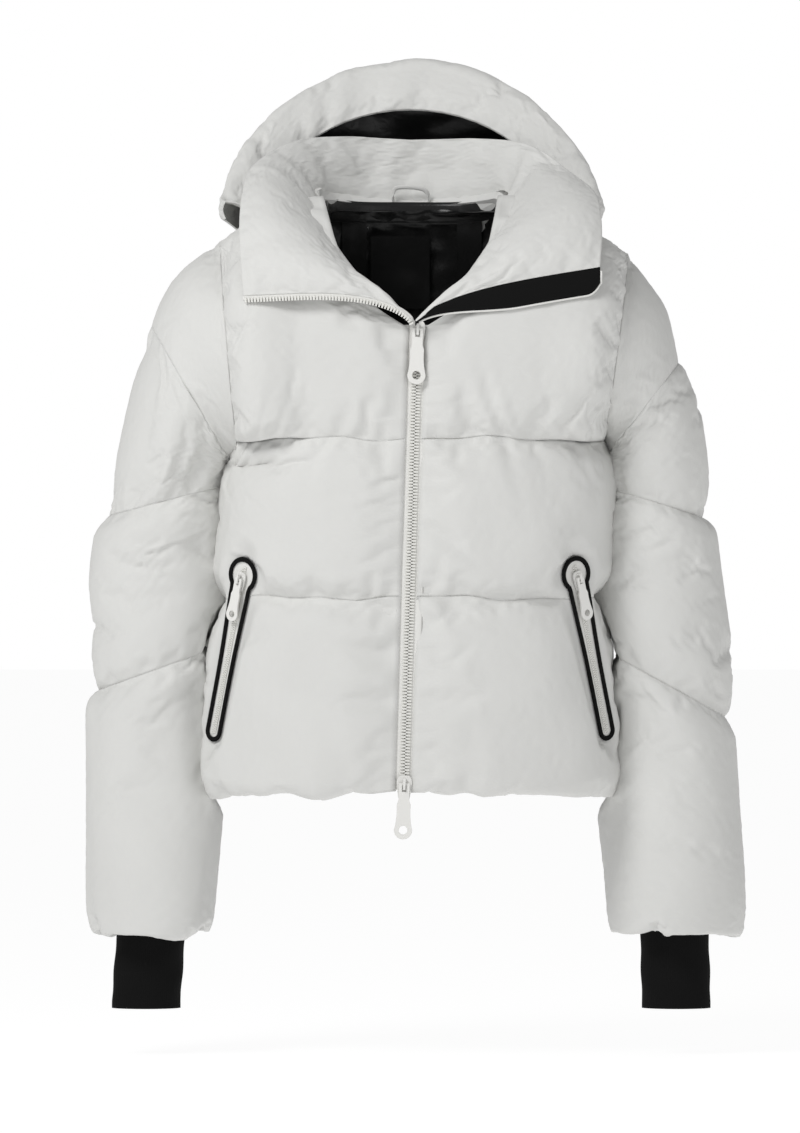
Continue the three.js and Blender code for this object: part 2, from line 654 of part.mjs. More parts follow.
// ---------- assembly: pockets ----------
for (const side of Object.keys(SIDES)) {
  const frame = pocketFrame(side);
  const { length } = frame.userData;
  model.add(frame);
  addPiece(`pocket_piping_${side}`, pocketPiping(length), 'binding', frame);
  addPiece(`pocket_zip_${side}`, pocketZip(length), 'zip', frame);
  addSlider(`pocket_${side}`, frame, 3, POCKET_SCALE, 1.9, 0.9, false);
  const bag = slab(6, 6, (u, v, layer) => {
    const z = mix(-538, -345, v);
    const x = mix(70, 150, u) * SIDES[side];
    return bodyPoint(x, z, side, -1, BAG_INSET + layer * BAG_THICKNESS, 0);
  });
  addPiece(`pocket_bag_${side}`, bag, 'lining');
}

// ---------- assembly: collar ----------
function collarPoint(u, v) {
  const turn = THREE.MathUtils.degToRad(mix(COLLAR_SPAN, -COLLAR_SPAN, u));
  const wide = NECK_HALF_WIDTH * (1 + COLLAR_FLARE * v);
  const base = mix(5, NECK_SIDE_Z + 4, Math.abs(Math.sin(turn)) ** 2);
  const y = TORSO_CENTRE_Y + COLLAR_HALF_DEPTH * Math.cos(turn) * (1 + 0.1 * v);
  return new THREE.Vector3(wide * Math.sin(turn), y, base + v * COLLAR_HEIGHT);
}
addPiece('collar_back', padded(collarPoint, COLLAR_THICKNESS, 14, 3), 'shell');

// Each lapel lies between the roll line at the neck and the collar's free edge.
const LAPELS = {
  right: {
    roll: [[84, -64, 8], [73, -138, -20], [62, -172, -50], [44, -193, -78], [14, -202, -112]],
    free: [[110, -62, 56], [148, -118, 30], [158, -160, -10], [159, -184, -50], [154, -190, -87]],
  },
  left: {
    roll: [[84, -64, 10], [76, -134, -14], [63, -168, -46], [50, -188, -68], [22, -198, -92]],
    free: [[110, -62, 56], [148, -114, 32], [166, -154, 4], [173, -176, -30], [174, -186, -62]],
  },
};

function lapelPoint(side, u, v) {
  const { roll, free } = LAPELS[side];
  const at = strip(curveThrough(roll), curveThrough(free), u, v);
  at.x *= SIDES[side];
  at.y -= 7 * Math.sin(Math.PI * u) * Math.sin(Math.PI * v);
  return at;
}
for (const side of Object.keys(SIDES)) {
  const thickness = -LAPEL_THICKNESS * SIDES[side];
  addPiece(`collar_lapel_${side}`, padded((u, v) => lapelPoint(side, u, v), thickness, 8, 8), 'shell');
}

// Bare zip along the right lapel, and the dark facing with its piping along the left one.
const lapelTeeth = [0, 0.34, 0.67, 1].map((u) => {
  const at = lapelPoint('right', u, 1);
  return [at.x, at.y + 1, at.z - 3.2];
});
addPiece('collar_zip_teeth_right', cordAlong(lapelTeeth, 2, 8, 14), 'zip');
function facingPoint(u, v) {
  const at = lapelPoint('left', u, 1);
  return new THREE.Vector3(at.x, at.y - 2, at.z - GAP - 1 - v * mix(10, 19, u ** 0.7));
}
addPiece('collar_facing_left', padded(facingPoint, 3, 10, 2), 'binding');
const pipingRoute = [0, 0.25, 0.5, 0.75, 0.97].map((u) => {
  const at = facingPoint(u, 1);
  return [at.x, at.y + 1.5, at.z - 1.7];
});
addPiece('collar_piping_left', cordAlong(pipingRoute, 1.1, 6, 12), 'zip');

// ---------- assembly: hood ----------
function rimHeight(turn) {
  return HOOD_PEAK_Z * Math.max(0, Math.cos(turn)) ** 1.05;
}

function wallWidth(v, inset) {
  return HOOD_HALF_WIDTH + 3 * Math.sin(Math.PI * v) - inset;
}

function brimHalfWidth(turn, v, inset) {
  const round = Math.max(0, Math.cos(turn));
  return HOOD_HALF_WIDTH - HOOD_THICKNESS - 2 - v * mix(26, 30, 1 - round) - inset * (1 - round);
}

// The outer wall, from the rim at v = 0 to the foot at v = 1; inset pulls it towards the neck.
function hoodWall(turn, v, inset) {
  const round = Math.max(0, Math.cos(turn));
  const belly = 22 * Math.sin(Math.PI * v) * round;
  const deep = mix(HOOD_HALF_DEPTH, 152, v) + belly - inset;
  const foot = -18 - 98 * round ** 2.5;
  return new THREE.Vector3(
    wallWidth(v, inset) * Math.sin(turn),
    HOOD_CENTRE_Y + deep * Math.cos(turn),
    mix(rimHeight(turn), foot, v),
  );
}

// The facing band inside the rim, from the rim at v = 0 down to its inner edge at v = 1.
function brimPoint(turn, v, inset) {
  const round = Math.max(0, Math.cos(turn));
  const deep = HOOD_HALF_DEPTH - HOOD_THICKNESS - 2 - v * 22 - inset * round;
  const rise = rimHeight(turn) + 2 - v * BRIM_WIDTH * mix(0.1, 1, round);
  return new THREE.Vector3(
    brimHalfWidth(turn, v, inset) * Math.sin(turn),
    HOOD_CENTRE_Y + deep * Math.cos(turn),
    rise,
  );
}

// The turn at which a surface of the given half width reaches x.
function turnAt(x, halfWidthAt) {
  let turn = 0;
  for (let i = 0; i < 12; i += 1) turn = Math.asin(x / halfWidthAt(turn));
  return turn;
}

// The hood's back lifts between its two side seams, so each seam lies in a plane of constant x.
const HOOD_PANELS = {
  right: (u, halfWidthAt) =>
    mix(-THREE.MathUtils.degToRad(HOOD_SPAN), turnAt(-HOOD_SEAM_X - GAP / 2, halfWidthAt), u),
  centre: (u, halfWidthAt) => turnAt(mix(-1, 1, u) * (HOOD_SEAM_X - GAP / 2), halfWidthAt),
  left: (u, halfWidthAt) =>
    mix(turnAt(HOOD_SEAM_X + GAP / 2, halfWidthAt), THREE.MathUtils.degToRad(HOOD_SPAN), u),
};
Object.entries(HOOD_PANELS).forEach(([name, turnOf]) => {
  const across = name === 'centre' ? 10 : 7;
  addPiece(`hood_${name}_panel`, slab(across, 5, (u, v, layer) => {
    const inset = layer * HOOD_THICKNESS;
    return hoodWall(turnOf(u, () => wallWidth(v, inset)), v, inset);
  }), 'shell');
  addPiece(`hood_brim_${name}`, slab(across, 3, (u, v, layer) => {
    const inset = layer * 11 + GAP;
    return brimPoint(turnOf(u, (turn) => brimHalfWidth(turn, v, inset)), v, inset);
  }), 'shell');
});

// The hood's lining runs down inside the centre panel and back up to the neck seam.
function hoodLiningPoint(turn, v) {
  const [sin, cos] = [Math.sin(turn), Math.cos(turn)];
  const inset = HOOD_THICKNESS + 1.6;
  const [top, foot] = [hoodWall(turn, 0.42, inset), hoodWall(turn, 0.96, inset + 2)];
  const onBack = bodyPoint(foot.x * 0.85, -62, turn < 0 ? 'right' : 'left', 1, -9, BODY_PUFF * 0.6);
  const seam = new THREE.Vector3(104 * sin, TORSO_CENTRE_Y + 101 * cos, -4);
  return new THREE.CatmullRomCurve3([top, foot, onBack, seam], false, 'centripetal').getPoint(v);
}
addPiece('hood_lining', padded((u, v) =>
  hoodLiningPoint(THREE.MathUtils.degToRad(mix(32, -32, u)), v), LINING_THICKNESS, 8, 9), 'lining');

// ---------- assembly: neck details ----------
const LABEL = { left: 18, right: -38, low: -98, high: -24, thickness: 0.8 };
const labelInset = NECK_LINING_INSET + LINING_THICKNESS + 1.2;
addPiece('neck_label', slab(4, 5, (u, v, layer) => {
  const x = mix(LABEL.right, LABEL.left, u);
  const side = x < 0 ? 'right' : 'left';
  return bodyPoint(x, mix(LABEL.low, LABEL.high, v), side, 1, labelInset + layer * LABEL.thickness, 0);
}), 'label');

const HANGER = { width: 34, foot: 1.4, height: 17, tape: 4, thickness: 1.6, y: 4.6 };
const hangerOutline = new THREE.Shape();
const half = HANGER.width / 2;
const bore = half - HANGER.tape;
const { foot: hangerFoot, height: hangerTop } = HANGER;
hangerOutline.moveTo(-half, hangerFoot).lineTo(-half, hangerTop).lineTo(half, hangerTop);
hangerOutline.lineTo(half, hangerFoot).lineTo(bore, hangerFoot).lineTo(bore, hangerTop - HANGER.tape);
hangerOutline.lineTo(-bore, hangerTop - HANGER.tape).lineTo(-bore, hangerFoot);
hangerOutline.closePath();
addPiece('hanger_loop', plate(hangerOutline, HANGER.y, HANGER.thickness), 'shell');

export default model;
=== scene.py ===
"""A short down ski jacket around its CAD frame: simulated quilted chambers, zips, collar, hood and gaiters.

The frame is in metres. The garment's surfaces are worked out in millimetres, as its CAD model is, and are
scaled when a mesh is made. x is the wearer's left, the front faces -y, and z is up.
"""
import json
import math

import bmesh
import bpy
import numpy as np
from mathutils import Vector
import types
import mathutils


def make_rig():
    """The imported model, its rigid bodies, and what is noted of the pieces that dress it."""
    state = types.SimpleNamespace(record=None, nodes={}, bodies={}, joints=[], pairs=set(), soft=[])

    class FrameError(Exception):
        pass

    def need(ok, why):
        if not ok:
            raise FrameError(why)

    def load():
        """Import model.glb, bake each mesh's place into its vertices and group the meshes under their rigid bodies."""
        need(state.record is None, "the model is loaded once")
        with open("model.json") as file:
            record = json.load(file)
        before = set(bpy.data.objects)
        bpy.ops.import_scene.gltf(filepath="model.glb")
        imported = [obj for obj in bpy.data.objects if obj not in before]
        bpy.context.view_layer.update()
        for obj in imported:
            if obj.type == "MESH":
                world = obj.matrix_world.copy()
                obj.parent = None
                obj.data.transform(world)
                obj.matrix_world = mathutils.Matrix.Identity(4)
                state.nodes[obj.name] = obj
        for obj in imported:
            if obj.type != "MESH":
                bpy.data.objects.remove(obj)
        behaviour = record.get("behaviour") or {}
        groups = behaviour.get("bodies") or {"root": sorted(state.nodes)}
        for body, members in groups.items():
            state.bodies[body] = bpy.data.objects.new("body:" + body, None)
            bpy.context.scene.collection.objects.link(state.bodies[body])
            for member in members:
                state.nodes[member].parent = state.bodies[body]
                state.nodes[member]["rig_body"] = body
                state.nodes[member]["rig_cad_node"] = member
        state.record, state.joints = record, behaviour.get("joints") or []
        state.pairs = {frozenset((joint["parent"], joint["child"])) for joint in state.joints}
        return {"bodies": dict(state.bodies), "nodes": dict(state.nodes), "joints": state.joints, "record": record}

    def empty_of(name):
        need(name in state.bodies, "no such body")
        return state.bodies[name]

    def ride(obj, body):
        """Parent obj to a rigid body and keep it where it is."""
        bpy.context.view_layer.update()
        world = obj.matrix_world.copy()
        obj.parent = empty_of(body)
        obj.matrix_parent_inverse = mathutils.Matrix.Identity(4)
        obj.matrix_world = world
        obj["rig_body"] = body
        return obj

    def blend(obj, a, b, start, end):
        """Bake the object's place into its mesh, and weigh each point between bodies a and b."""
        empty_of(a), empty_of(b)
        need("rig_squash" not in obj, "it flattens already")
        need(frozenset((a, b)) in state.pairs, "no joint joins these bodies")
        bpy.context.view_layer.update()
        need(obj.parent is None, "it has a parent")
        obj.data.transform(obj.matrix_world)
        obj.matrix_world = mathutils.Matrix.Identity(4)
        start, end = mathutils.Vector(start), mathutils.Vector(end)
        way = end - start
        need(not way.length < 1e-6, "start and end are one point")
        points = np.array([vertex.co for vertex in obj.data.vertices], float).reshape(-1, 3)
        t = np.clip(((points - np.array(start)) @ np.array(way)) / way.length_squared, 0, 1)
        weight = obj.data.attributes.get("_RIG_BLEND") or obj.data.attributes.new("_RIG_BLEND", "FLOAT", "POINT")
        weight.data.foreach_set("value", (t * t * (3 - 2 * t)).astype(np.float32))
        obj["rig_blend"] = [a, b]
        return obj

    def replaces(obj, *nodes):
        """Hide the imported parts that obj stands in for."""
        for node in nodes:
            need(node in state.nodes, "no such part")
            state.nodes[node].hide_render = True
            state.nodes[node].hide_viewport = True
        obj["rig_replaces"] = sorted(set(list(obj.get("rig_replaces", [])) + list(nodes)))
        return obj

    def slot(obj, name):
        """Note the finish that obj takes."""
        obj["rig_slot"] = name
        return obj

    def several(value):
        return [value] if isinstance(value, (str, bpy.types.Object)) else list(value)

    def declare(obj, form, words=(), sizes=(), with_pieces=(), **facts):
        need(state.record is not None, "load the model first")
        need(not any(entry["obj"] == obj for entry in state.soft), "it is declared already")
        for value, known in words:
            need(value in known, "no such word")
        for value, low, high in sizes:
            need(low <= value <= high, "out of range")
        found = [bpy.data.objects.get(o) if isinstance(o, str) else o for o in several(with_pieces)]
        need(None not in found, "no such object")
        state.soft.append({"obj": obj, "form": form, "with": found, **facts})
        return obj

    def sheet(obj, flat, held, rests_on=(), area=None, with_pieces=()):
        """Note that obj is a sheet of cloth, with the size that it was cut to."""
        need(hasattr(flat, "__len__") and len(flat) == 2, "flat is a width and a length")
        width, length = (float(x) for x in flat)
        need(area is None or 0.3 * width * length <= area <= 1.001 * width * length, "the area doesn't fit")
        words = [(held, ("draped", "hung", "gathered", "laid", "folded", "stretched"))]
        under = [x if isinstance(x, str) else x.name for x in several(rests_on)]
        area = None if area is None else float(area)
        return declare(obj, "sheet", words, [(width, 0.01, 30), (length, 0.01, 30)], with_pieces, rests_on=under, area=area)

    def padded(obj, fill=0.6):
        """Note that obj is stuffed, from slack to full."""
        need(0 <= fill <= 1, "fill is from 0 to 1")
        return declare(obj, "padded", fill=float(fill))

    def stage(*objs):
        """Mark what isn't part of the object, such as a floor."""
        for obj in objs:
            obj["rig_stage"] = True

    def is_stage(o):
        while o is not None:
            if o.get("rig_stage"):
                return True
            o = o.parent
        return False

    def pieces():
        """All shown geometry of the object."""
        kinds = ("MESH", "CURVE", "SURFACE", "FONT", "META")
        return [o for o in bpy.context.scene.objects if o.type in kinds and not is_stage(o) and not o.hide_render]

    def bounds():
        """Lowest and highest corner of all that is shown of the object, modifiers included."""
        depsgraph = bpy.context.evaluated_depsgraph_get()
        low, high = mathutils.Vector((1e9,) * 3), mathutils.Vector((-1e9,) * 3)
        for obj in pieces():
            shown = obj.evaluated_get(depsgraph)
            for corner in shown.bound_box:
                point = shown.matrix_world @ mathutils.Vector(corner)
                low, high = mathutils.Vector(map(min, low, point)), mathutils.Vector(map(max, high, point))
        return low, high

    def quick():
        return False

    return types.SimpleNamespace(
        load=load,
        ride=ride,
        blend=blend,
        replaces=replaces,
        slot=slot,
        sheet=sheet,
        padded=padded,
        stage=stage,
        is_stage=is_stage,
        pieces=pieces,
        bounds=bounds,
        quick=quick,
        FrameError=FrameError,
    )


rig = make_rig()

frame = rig.load()
CAD_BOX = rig.bounds()
MM = 0.001
SIDES = {"right": -1, "left": 1}

# ---------- garment sizes, mostly those of the CAD model ----------
HEM_Z = -551
ROW_SEAMS_Z = [HEM_Z, -372, -225]
YOKE_SEAM_Z = -112
BODY_Y = -62
BODY_HALF_DEPTH = 116
BODY_ROUNDNESS = 2.6
HEM_HALF_WIDTH = 182
WAIST_HALF_WIDTH = 172
SHOULDER_ROUND_Z = -150
SHOULDER_POWER = 2.2
NECK_HALF_WIDTH = 82
NECK_SIDE_Z = 5
NECK_PEAK_Z = 28
NECK_V_Z = -119
ARMHOLE = {
    "right": {"top": (179, -38), "armpit": (161, -245)},
    "left": {"top": (204, -50), "armpit": (181, -226)},
}
ARMHOLE_HALF_DEPTH = 80
ARMHOLE_FILL = {"right": 20, "left": 10}  # how far down fills out the join of chest and sleeve
ARMHOLE_REACH = 75  # and how far that reaches to either side
SLEEVES = {
    "right": {
        "outer": [(179, -38), (243, -118), (284, -296), (293, -459), (292, -681)],
        "inner": [(161, -245), (166, -249), (168, -266), (172, -416), (190, -681)],
        "wrist": 248,
    },
    "left": {
        "outer": [(204, -50), (251, -152), (274, -297), (295, -484), (303, -681)],
        "inner": [(181, -226), (184, -238), (178, -268), (174, -418), (190, -681)],
        "wrist": 249,
    },
}
SLEEVE_HALF_DEPTHS = [80, 74, 68, 62, 54]
SLEEVE_Y = [-62, -58, -44, -44, -62]
BODY_CLEARANCE = 2.5
ROW_PUFF = 13
SEAM_LIFT = 7
BODY_SWELL = 7  # how far filled rows stand off their seams
SIDE_SWELL = 7  # and how much further below the arms
SLEEVE_SWELL = 7
INNER_SLEEVE_SWELL = 2  # where a sleeve hangs against the body
INNER_SLEEVE_X = 194
HEM_FOLD = 0.08  # the lowest share of the hem's rows, which folds in
HEM_TURN_IN, HEM_RISE = 15, 3
SLEEVE_FOLD = 0.1
SAG = {"v0": 0.65, "v1": 1.4}  # how the reach of the fill differs at a chamber's lower and upper seams
GAITER = (32, 27)
GAITER_Y = -62
WRIST_Z = -757
ZIP_TOP = np.array([6.5, -187.0, -118.0])
ZIP_FOOT = np.array([-6.2, -187.0, HEM_Z])
FRONT_EDGE = {"right": 8.2, "left": 6.4}  # the shell's edge, from the middle of the zip
CELL = 5.2  # size of a simulated cloth cell
SEED = 7


# ---------- small tools ----------
def mix(a, b, t):
    return a + (b - a) * t


def clamp01(value):
    return np.clip(value, 0.0, 1.0)


def smooth(t):
    t = clamp01(t)
    return t * t * (3 - 2 * t)


def spline(points, t):
    """A Catmull-Rom curve through points at t from 0 to 1; t may be an array."""
    points = np.asarray(points, float)
    last = len(points) - 1
    place = np.asarray(t, float) * last
    low = np.clip(np.floor(place).astype(int), 0, last - 1)
    w = (place - low).reshape(place.shape + (1,) * (points.ndim - 1))
    before, after = points[np.maximum(low - 1, 0)], points[np.minimum(low + 2, last)]
    here, following = points[low], points[low + 1]
    enter, leave = (following - before) / 2, (after - here) / 2
    return ((2 * here - 2 * following + enter + leave) * w**3
            + (-3 * here + 3 * following - 2 * enter - leave) * w**2 + enter * w + here)


def points_of(x, y, z):
    return np.stack(np.broadcast_arrays(x, y, z), axis=-1).astype(float)


# ---------- the body's surface ----------
def shoulder_z(x, side):
    distance = np.abs(x)
    top_x, top_z = ARMHOLE[side]["top"]
    centre = mix(NECK_PEAK_Z, NECK_SIDE_Z, (distance / NECK_HALF_WIDTH) ** 2)
    slope = mix(NECK_SIDE_Z, top_z, (distance - NECK_HALF_WIDTH) / (top_x - NECK_HALF_WIDTH))
    return np.where(distance < NECK_HALF_WIDTH, centre, slope)


def half_width(z, side):
    (top_x, top_z), (pit_x, pit_z) = ARMHOLE[side]["top"], ARMHOLE[side]["armpit"]
    waist_z = ROW_SEAMS_Z[1]
    upper = mix(pit_x, top_x, clamp01((z - pit_z) / (top_z - pit_z)))
    middle = mix(WAIST_HALF_WIDTH, pit_x, (z - waist_z) / (pit_z - waist_z))
    lower = mix(HEM_HALF_WIDTH, WAIST_HALF_WIDTH, clamp01((z - HEM_Z) / (waist_z - HEM_Z)))
    return np.where(z > pit_z, upper, np.where(z > waist_z, middle, lower))


def armhole_depth(z, side):
    (_, top_z), (_, pit_z) = ARMHOLE[side]["top"], ARMHOLE[side]["armpit"]
    middle, half = (top_z + pit_z) / 2, (top_z - pit_z) / 2
    return ARMHOLE_HALF_DEPTH * np.sqrt(np.maximum(0, 1 - ((z - middle) / half) ** 2))


def body_point(x, z, side, facing, inset=0.0):
    """A point of the seam surface; facing is -1 in front and 1 behind, and inset pulls it inwards."""
    x, z = np.broadcast_arrays(np.asarray(x, float), np.asarray(z, float))
    share = clamp01(np.abs(x) / half_width(z, side))
    rounding = (1 - share**BODY_ROUNDNESS) ** (1 / BODY_ROUNDNESS)
    edge = armhole_depth(z, side)
    height = clamp01((z - SHOULDER_ROUND_Z) / (shoulder_z(x, side) - SHOULDER_ROUND_Z))
    closing = (1 - height**SHOULDER_POWER) ** (1 / SHOULDER_POWER)
    opening = edge / ARMHOLE_HALF_DEPTH
    depth = (edge + (BODY_HALF_DEPTH - edge) * rounding) * closing
    at_ridge, at_side = 1 - closing, (1 - rounding) * (1 - opening)
    y = BODY_Y + facing * np.maximum(0, depth - inset * (1 - 0.9 * at_side) * (1 - at_ridge))
    outward = -np.sign(x) * inset * share**3 * (1 - opening)
    return points_of(x + outward, y, z - inset * at_ridge)


def row_puff(z):
    """How far the body's filled rows push the sleeves out at a height."""
    total = np.zeros_like(np.asarray(z, float))
    for low, high in zip(ROW_SEAMS_Z, [*ROW_SEAMS_Z[1:], 0]):
        t = clamp01((z - low) / (high - low))
        inside = (z >= low) & (z < high)
        total = np.where(inside, ROW_PUFF * np.sqrt(4 * t * (1 - t)), total)
    return total


def zip_x(z):
    return mix(ZIP_TOP[0], ZIP_FOOT[0], (z - ZIP_TOP[2]) / (ZIP_FOOT[2] - ZIP_TOP[2]))


def spread(u):
    return np.sin(u * math.pi / 2) ** 0.8


def side_share(points):
    """0 at the middle of the body and 1 at its side, for each point."""
    side_left = half_width(points[..., 2], "left")
    side_right = half_width(points[..., 2], "right")
    return clamp01(np.abs(points[..., 0]) / np.where(points[..., 0] < 0, side_right, side_left))


def fill_armhole(points, away, side):
    """Brings both sides of the armhole's seam out to one smooth curve; away is the distance from the seam."""
    share = (1 - smooth(away / ARMHOLE_REACH)) * (points[..., 1] - BODY_Y) / ARMHOLE_HALF_DEPTH
    points[..., 1] += ARMHOLE_FILL[side] * np.clip(share, -1, 1)
    return points


def lift_seams(points, facing):
    """Down fills the seams almost flush over the flat of the body, and less towards its sides."""
    below_shoulder = smooth((-20 - points[..., 2]) / 110)
    points[..., 1] += facing * SEAM_LIFT * (1 - side_share(points) ** 3) * below_shoulder
    return points


def swell_amount(points):
    """How far a filled row stands off its seams: more at the body's sides below the arms."""
    below_arm = smooth((-200 - points[..., 2]) / 50)
    return BODY_SWELL + SIDE_SWELL * side_share(points) ** 3 * below_arm


def flatten_at_zip(points):
    """Near the zip the shell lies on its tape, whatever the body's own curve does."""
    away = np.abs(points[..., 0] - zip_x(points[..., 2]))
    hold = 1 - smooth((away - 7) / 22)
    lower = smooth((NECK_V_Z + 30 - points[..., 2]) / 30)
    target = ZIP_TOP[1] - 0.8
    points[..., 1] = mix(points[..., 1], target, hold * lower)
    return points


def fold_hem(points, v):
    """The hem's edge folds in and under, towards the wearer."""
    fold = 1 - clamp01(v / HEM_FOLD)
    flat = points[..., :2] - np.array([0, BODY_Y])
    size = np.linalg.norm(flat, axis=-1, keepdims=True) + 1e-9
    points[..., :2] -= flat / size * (fold * HEM_TURN_IN)[..., None]
    points[..., 2] += HEM_RISE * fold
    return points


def wander(seam_z, across):
    """A sewn seam is never quite level: its drift in height, across from -1 to 1 round the body."""
    drift = 1.7 * np.sin(across * 7.3 + seam_z / 31) + 1.1 * np.sin(across * 17 + seam_z / 13)
    return 0 * across if seam_z == HEM_Z else drift


def row_height(low, high, v, across):
    """Heights of a row's grid lines; the hem's row starts with its fold."""
    t = clamp01((v - HEM_FOLD) / (1 - HEM_FOLD)) if low == HEM_Z else v
    return mix(low + wander(low, across), high + wander(high, across), t)


def front_edge(v, side):
    """The front's inner edge: up the zip to the V and on round the neck, as x (positive outwards) and z."""
    bend = 0.45
    edge, sign = FRONT_EDGE[side], SIDES[side]
    z_low = mix(ROW_SEAMS_Z[2], NECK_V_Z - 4, v / bend)
    neckline = spline([(0, -119), (34, -97), (57, -66), (70, -38), (NECK_HALF_WIDTH, NECK_SIDE_Z)],
                      clamp01((v - bend) / (1 - bend)))
    t = clamp01((v - bend) / (1 - bend))
    high_x = neckline[..., 0] + (edge + sign * zip_x(NECK_V_Z)) * (1 - t)
    x = np.where(v < bend, edge + sign * zip_x(z_low), high_x)
    z = np.where(v < bend, z_low, neckline[..., 1] - 4 * (1 - t))
    return x, z


def yoke_place(side, u, v, drift=0.0):
    """x and z of a front yoke's grid, from the zip and the neck out to the armhole."""
    inner_x, inner_z = front_edge(v, side)
    outer_z = mix(ROW_SEAMS_Z[2], ARMHOLE[side]["top"][1], np.sin(v * math.pi / 2))
    share = spread(u)
    z = mix(inner_z, outer_z, share) + drift
    return mix(inner_x, half_width(z, side), share) * SIDES[side], z


def front_yoke(side):
    def surface(u, v):
        drift = wander(ROW_SEAMS_Z[2], spread(u) * SIDES[side]) * (1 - clamp01(v * 2))
        x, z = yoke_place(side, u, v, drift)
        points = fill_armhole(body_point(x, z, side, -1), half_width(z, side) - np.abs(x), side)
        return flatten_at_zip(lift_seams(points, -1))
    return surface


def front_row(side, low, high):
    def surface(u, v):
        z = row_height(low, high, v, spread(u) * SIDES[side])
        edge = FRONT_EDGE[side] + SIDES[side] * zip_x(z)
        x = mix(edge, half_width(z, side), spread(u)) * SIDES[side]
        points = flatten_at_zip(lift_seams(body_point(x, z, side, -1), -1))
        return fold_hem(points, v + 0 * u) if low == HEM_Z else points
    return surface


def back_top(size, side):
    """The back's top edge, along the neck and the shoulder, at a share of the way out to the armhole."""
    top_x = size * ARMHOLE[side]["top"][0]
    neck = mix(0, NECK_SIDE_Z, (top_x / NECK_HALF_WIDTH) ** 2)
    return np.where(top_x < NECK_HALF_WIDTH, neck, shoulder_z(top_x, side))


def both_sides(across, place):
    """Points of a piece that spans the middle of the back; place gives the points for one side."""
    return np.where((across < 0)[..., None], place("right"), place("left"))


def back_row(low, high):
    def surface(u, v):
        across = u * 2 - 1
        size, sign = np.abs(across), np.sign(across)

        def place(side):
            if high is None:
                rise = np.sin(v * math.pi / 2)
                z, share = mix(low + wander(low, size * sign), back_top(size, side), rise), size
            else:
                z, share = row_height(low, high, v, spread(size) * sign), spread(size)
            x = share * half_width(z, side) * sign
            points = body_point(x, z, side, 1)
            if low >= ROW_SEAMS_Z[-1]:
                points = fill_armhole(points, half_width(z, side) - np.abs(x), side)
            return points

        out = lift_seams(both_sides(across, place), 1)
        return fold_hem(out, v + 0 * u) if low == HEM_Z else out
    return surface


# ---------- the sleeves' surface ----------
def body_side(y, z, side, ring):
    """How far out the body reaches at y and z; past the elbow a sleeve keeps clear of its widest place."""
    swell = row_puff(z) + BODY_CLEARANCE
    share = clamp01(np.abs(y - BODY_Y) / (BODY_HALF_DEPTH + swell))
    rounding = (1 - share**BODY_ROUNDNESS) ** (1 / BODY_ROUNDNESS)
    fade = clamp01((HEM_Z - 4 - z) / 45)
    hugging = (half_width(z, side) + swell) * rounding
    reach = mix(hugging, HEM_HALF_WIDTH + ROW_PUFF, clamp01((ring - 2.75) / 0.25)) - 30 * fade
    return np.where(z > ARMHOLE[side]["armpit"][1] - 12, 0, reach)


def sleeve_point(side, ring, turn, inset=0.0):
    shape = SLEEVES[side]
    knots = len(shape["outer"]) - 1
    out, inn = spline(shape["outer"], ring / knots), spline(shape["inner"], ring / knots)
    depth = np.interp(ring, range(knots + 1), SLEEVE_HALF_DEPTHS)
    middle_y = np.interp(ring, range(knots + 1), SLEEVE_Y)
    arm = (out - inn) / 2
    half = np.linalg.norm(arm, axis=-1)
    wide = (half - inset * np.where(np.cos(turn) < 0, 0.5, 1)) / half
    x = (out[..., 0] + inn[..., 0]) / 2 + arm[..., 0] * np.cos(turn) * wide
    z = (out[..., 1] + inn[..., 1]) / 2 + arm[..., 1] * np.cos(turn) * wide
    y = middle_y + (depth - inset) * np.sin(turn)
    sewn = smooth(1 - ring / 0.5)
    _, top_z = ARMHOLE[side]["top"]
    height = clamp01((z - SHOULDER_ROUND_Z) / (top_z - SHOULDER_ROUND_Z))
    closing = (1 - height**SHOULDER_POWER) ** (1 / SHOULDER_POWER)
    y = mix(y, BODY_Y + (y - BODY_Y) * closing, sewn)
    x = np.maximum(x, body_side(y, z, side, ring) + inset)
    return points_of(x * SIDES[side], y, z)


def sleeve_ring(side, start, end):
    def surface(u, v):
        turn = (u * 2 + 1) * math.pi
        if end < 4:
            points = sleeve_point(side, mix(start, end, v), turn)
            return fill_armhole(points, 90 * mix(start, end, v), side)
        points = sleeve_point(side, mix(start, end, clamp01(v / (1 - SLEEVE_FOLD))), turn)
        fold = clamp01((v - 1 + SLEEVE_FOLD) / SLEEVE_FOLD) * 0.9 + 0 * turn
        points = mix(points, gaiter_point(side, turn, points[..., 2]), fold[..., None])
        points[..., 2] += 4 * fold
        return points
    return surface


def gaiter_point(side, turn, z, inset=0.0):
    shape = SLEEVES[side]
    mouth = (shape["outer"][-1][0] + shape["inner"][-1][0]) / 2
    centre = mix(mouth, shape["wrist"], clamp01((-650 - z) / 100))
    x = (centre + (GAITER[0] - inset) * np.cos(turn)) * SIDES[side]
    return points_of(x, GAITER_Y + (GAITER[1] - inset) * np.sin(turn), z)


# ---------- the pockets' own frames ----------
POCKETS = {
    "right": {"head": (149, -351), "foot": (176, -506)},
    "left": {"head": (147, -350), "foot": (175, -505)},
}
POCKET_HEAD, POCKET_FOOT, PIPING = 17, 9.6, 4.6
POCKET_DEPTH = 40  # points further than this from a pocket's plane are on another side of the body
UNDER_PIPING, UNDER_ZIP, BEHIND_ZIP = 0.9, 5, 8  # depths of the shell, and of the chambers' backs


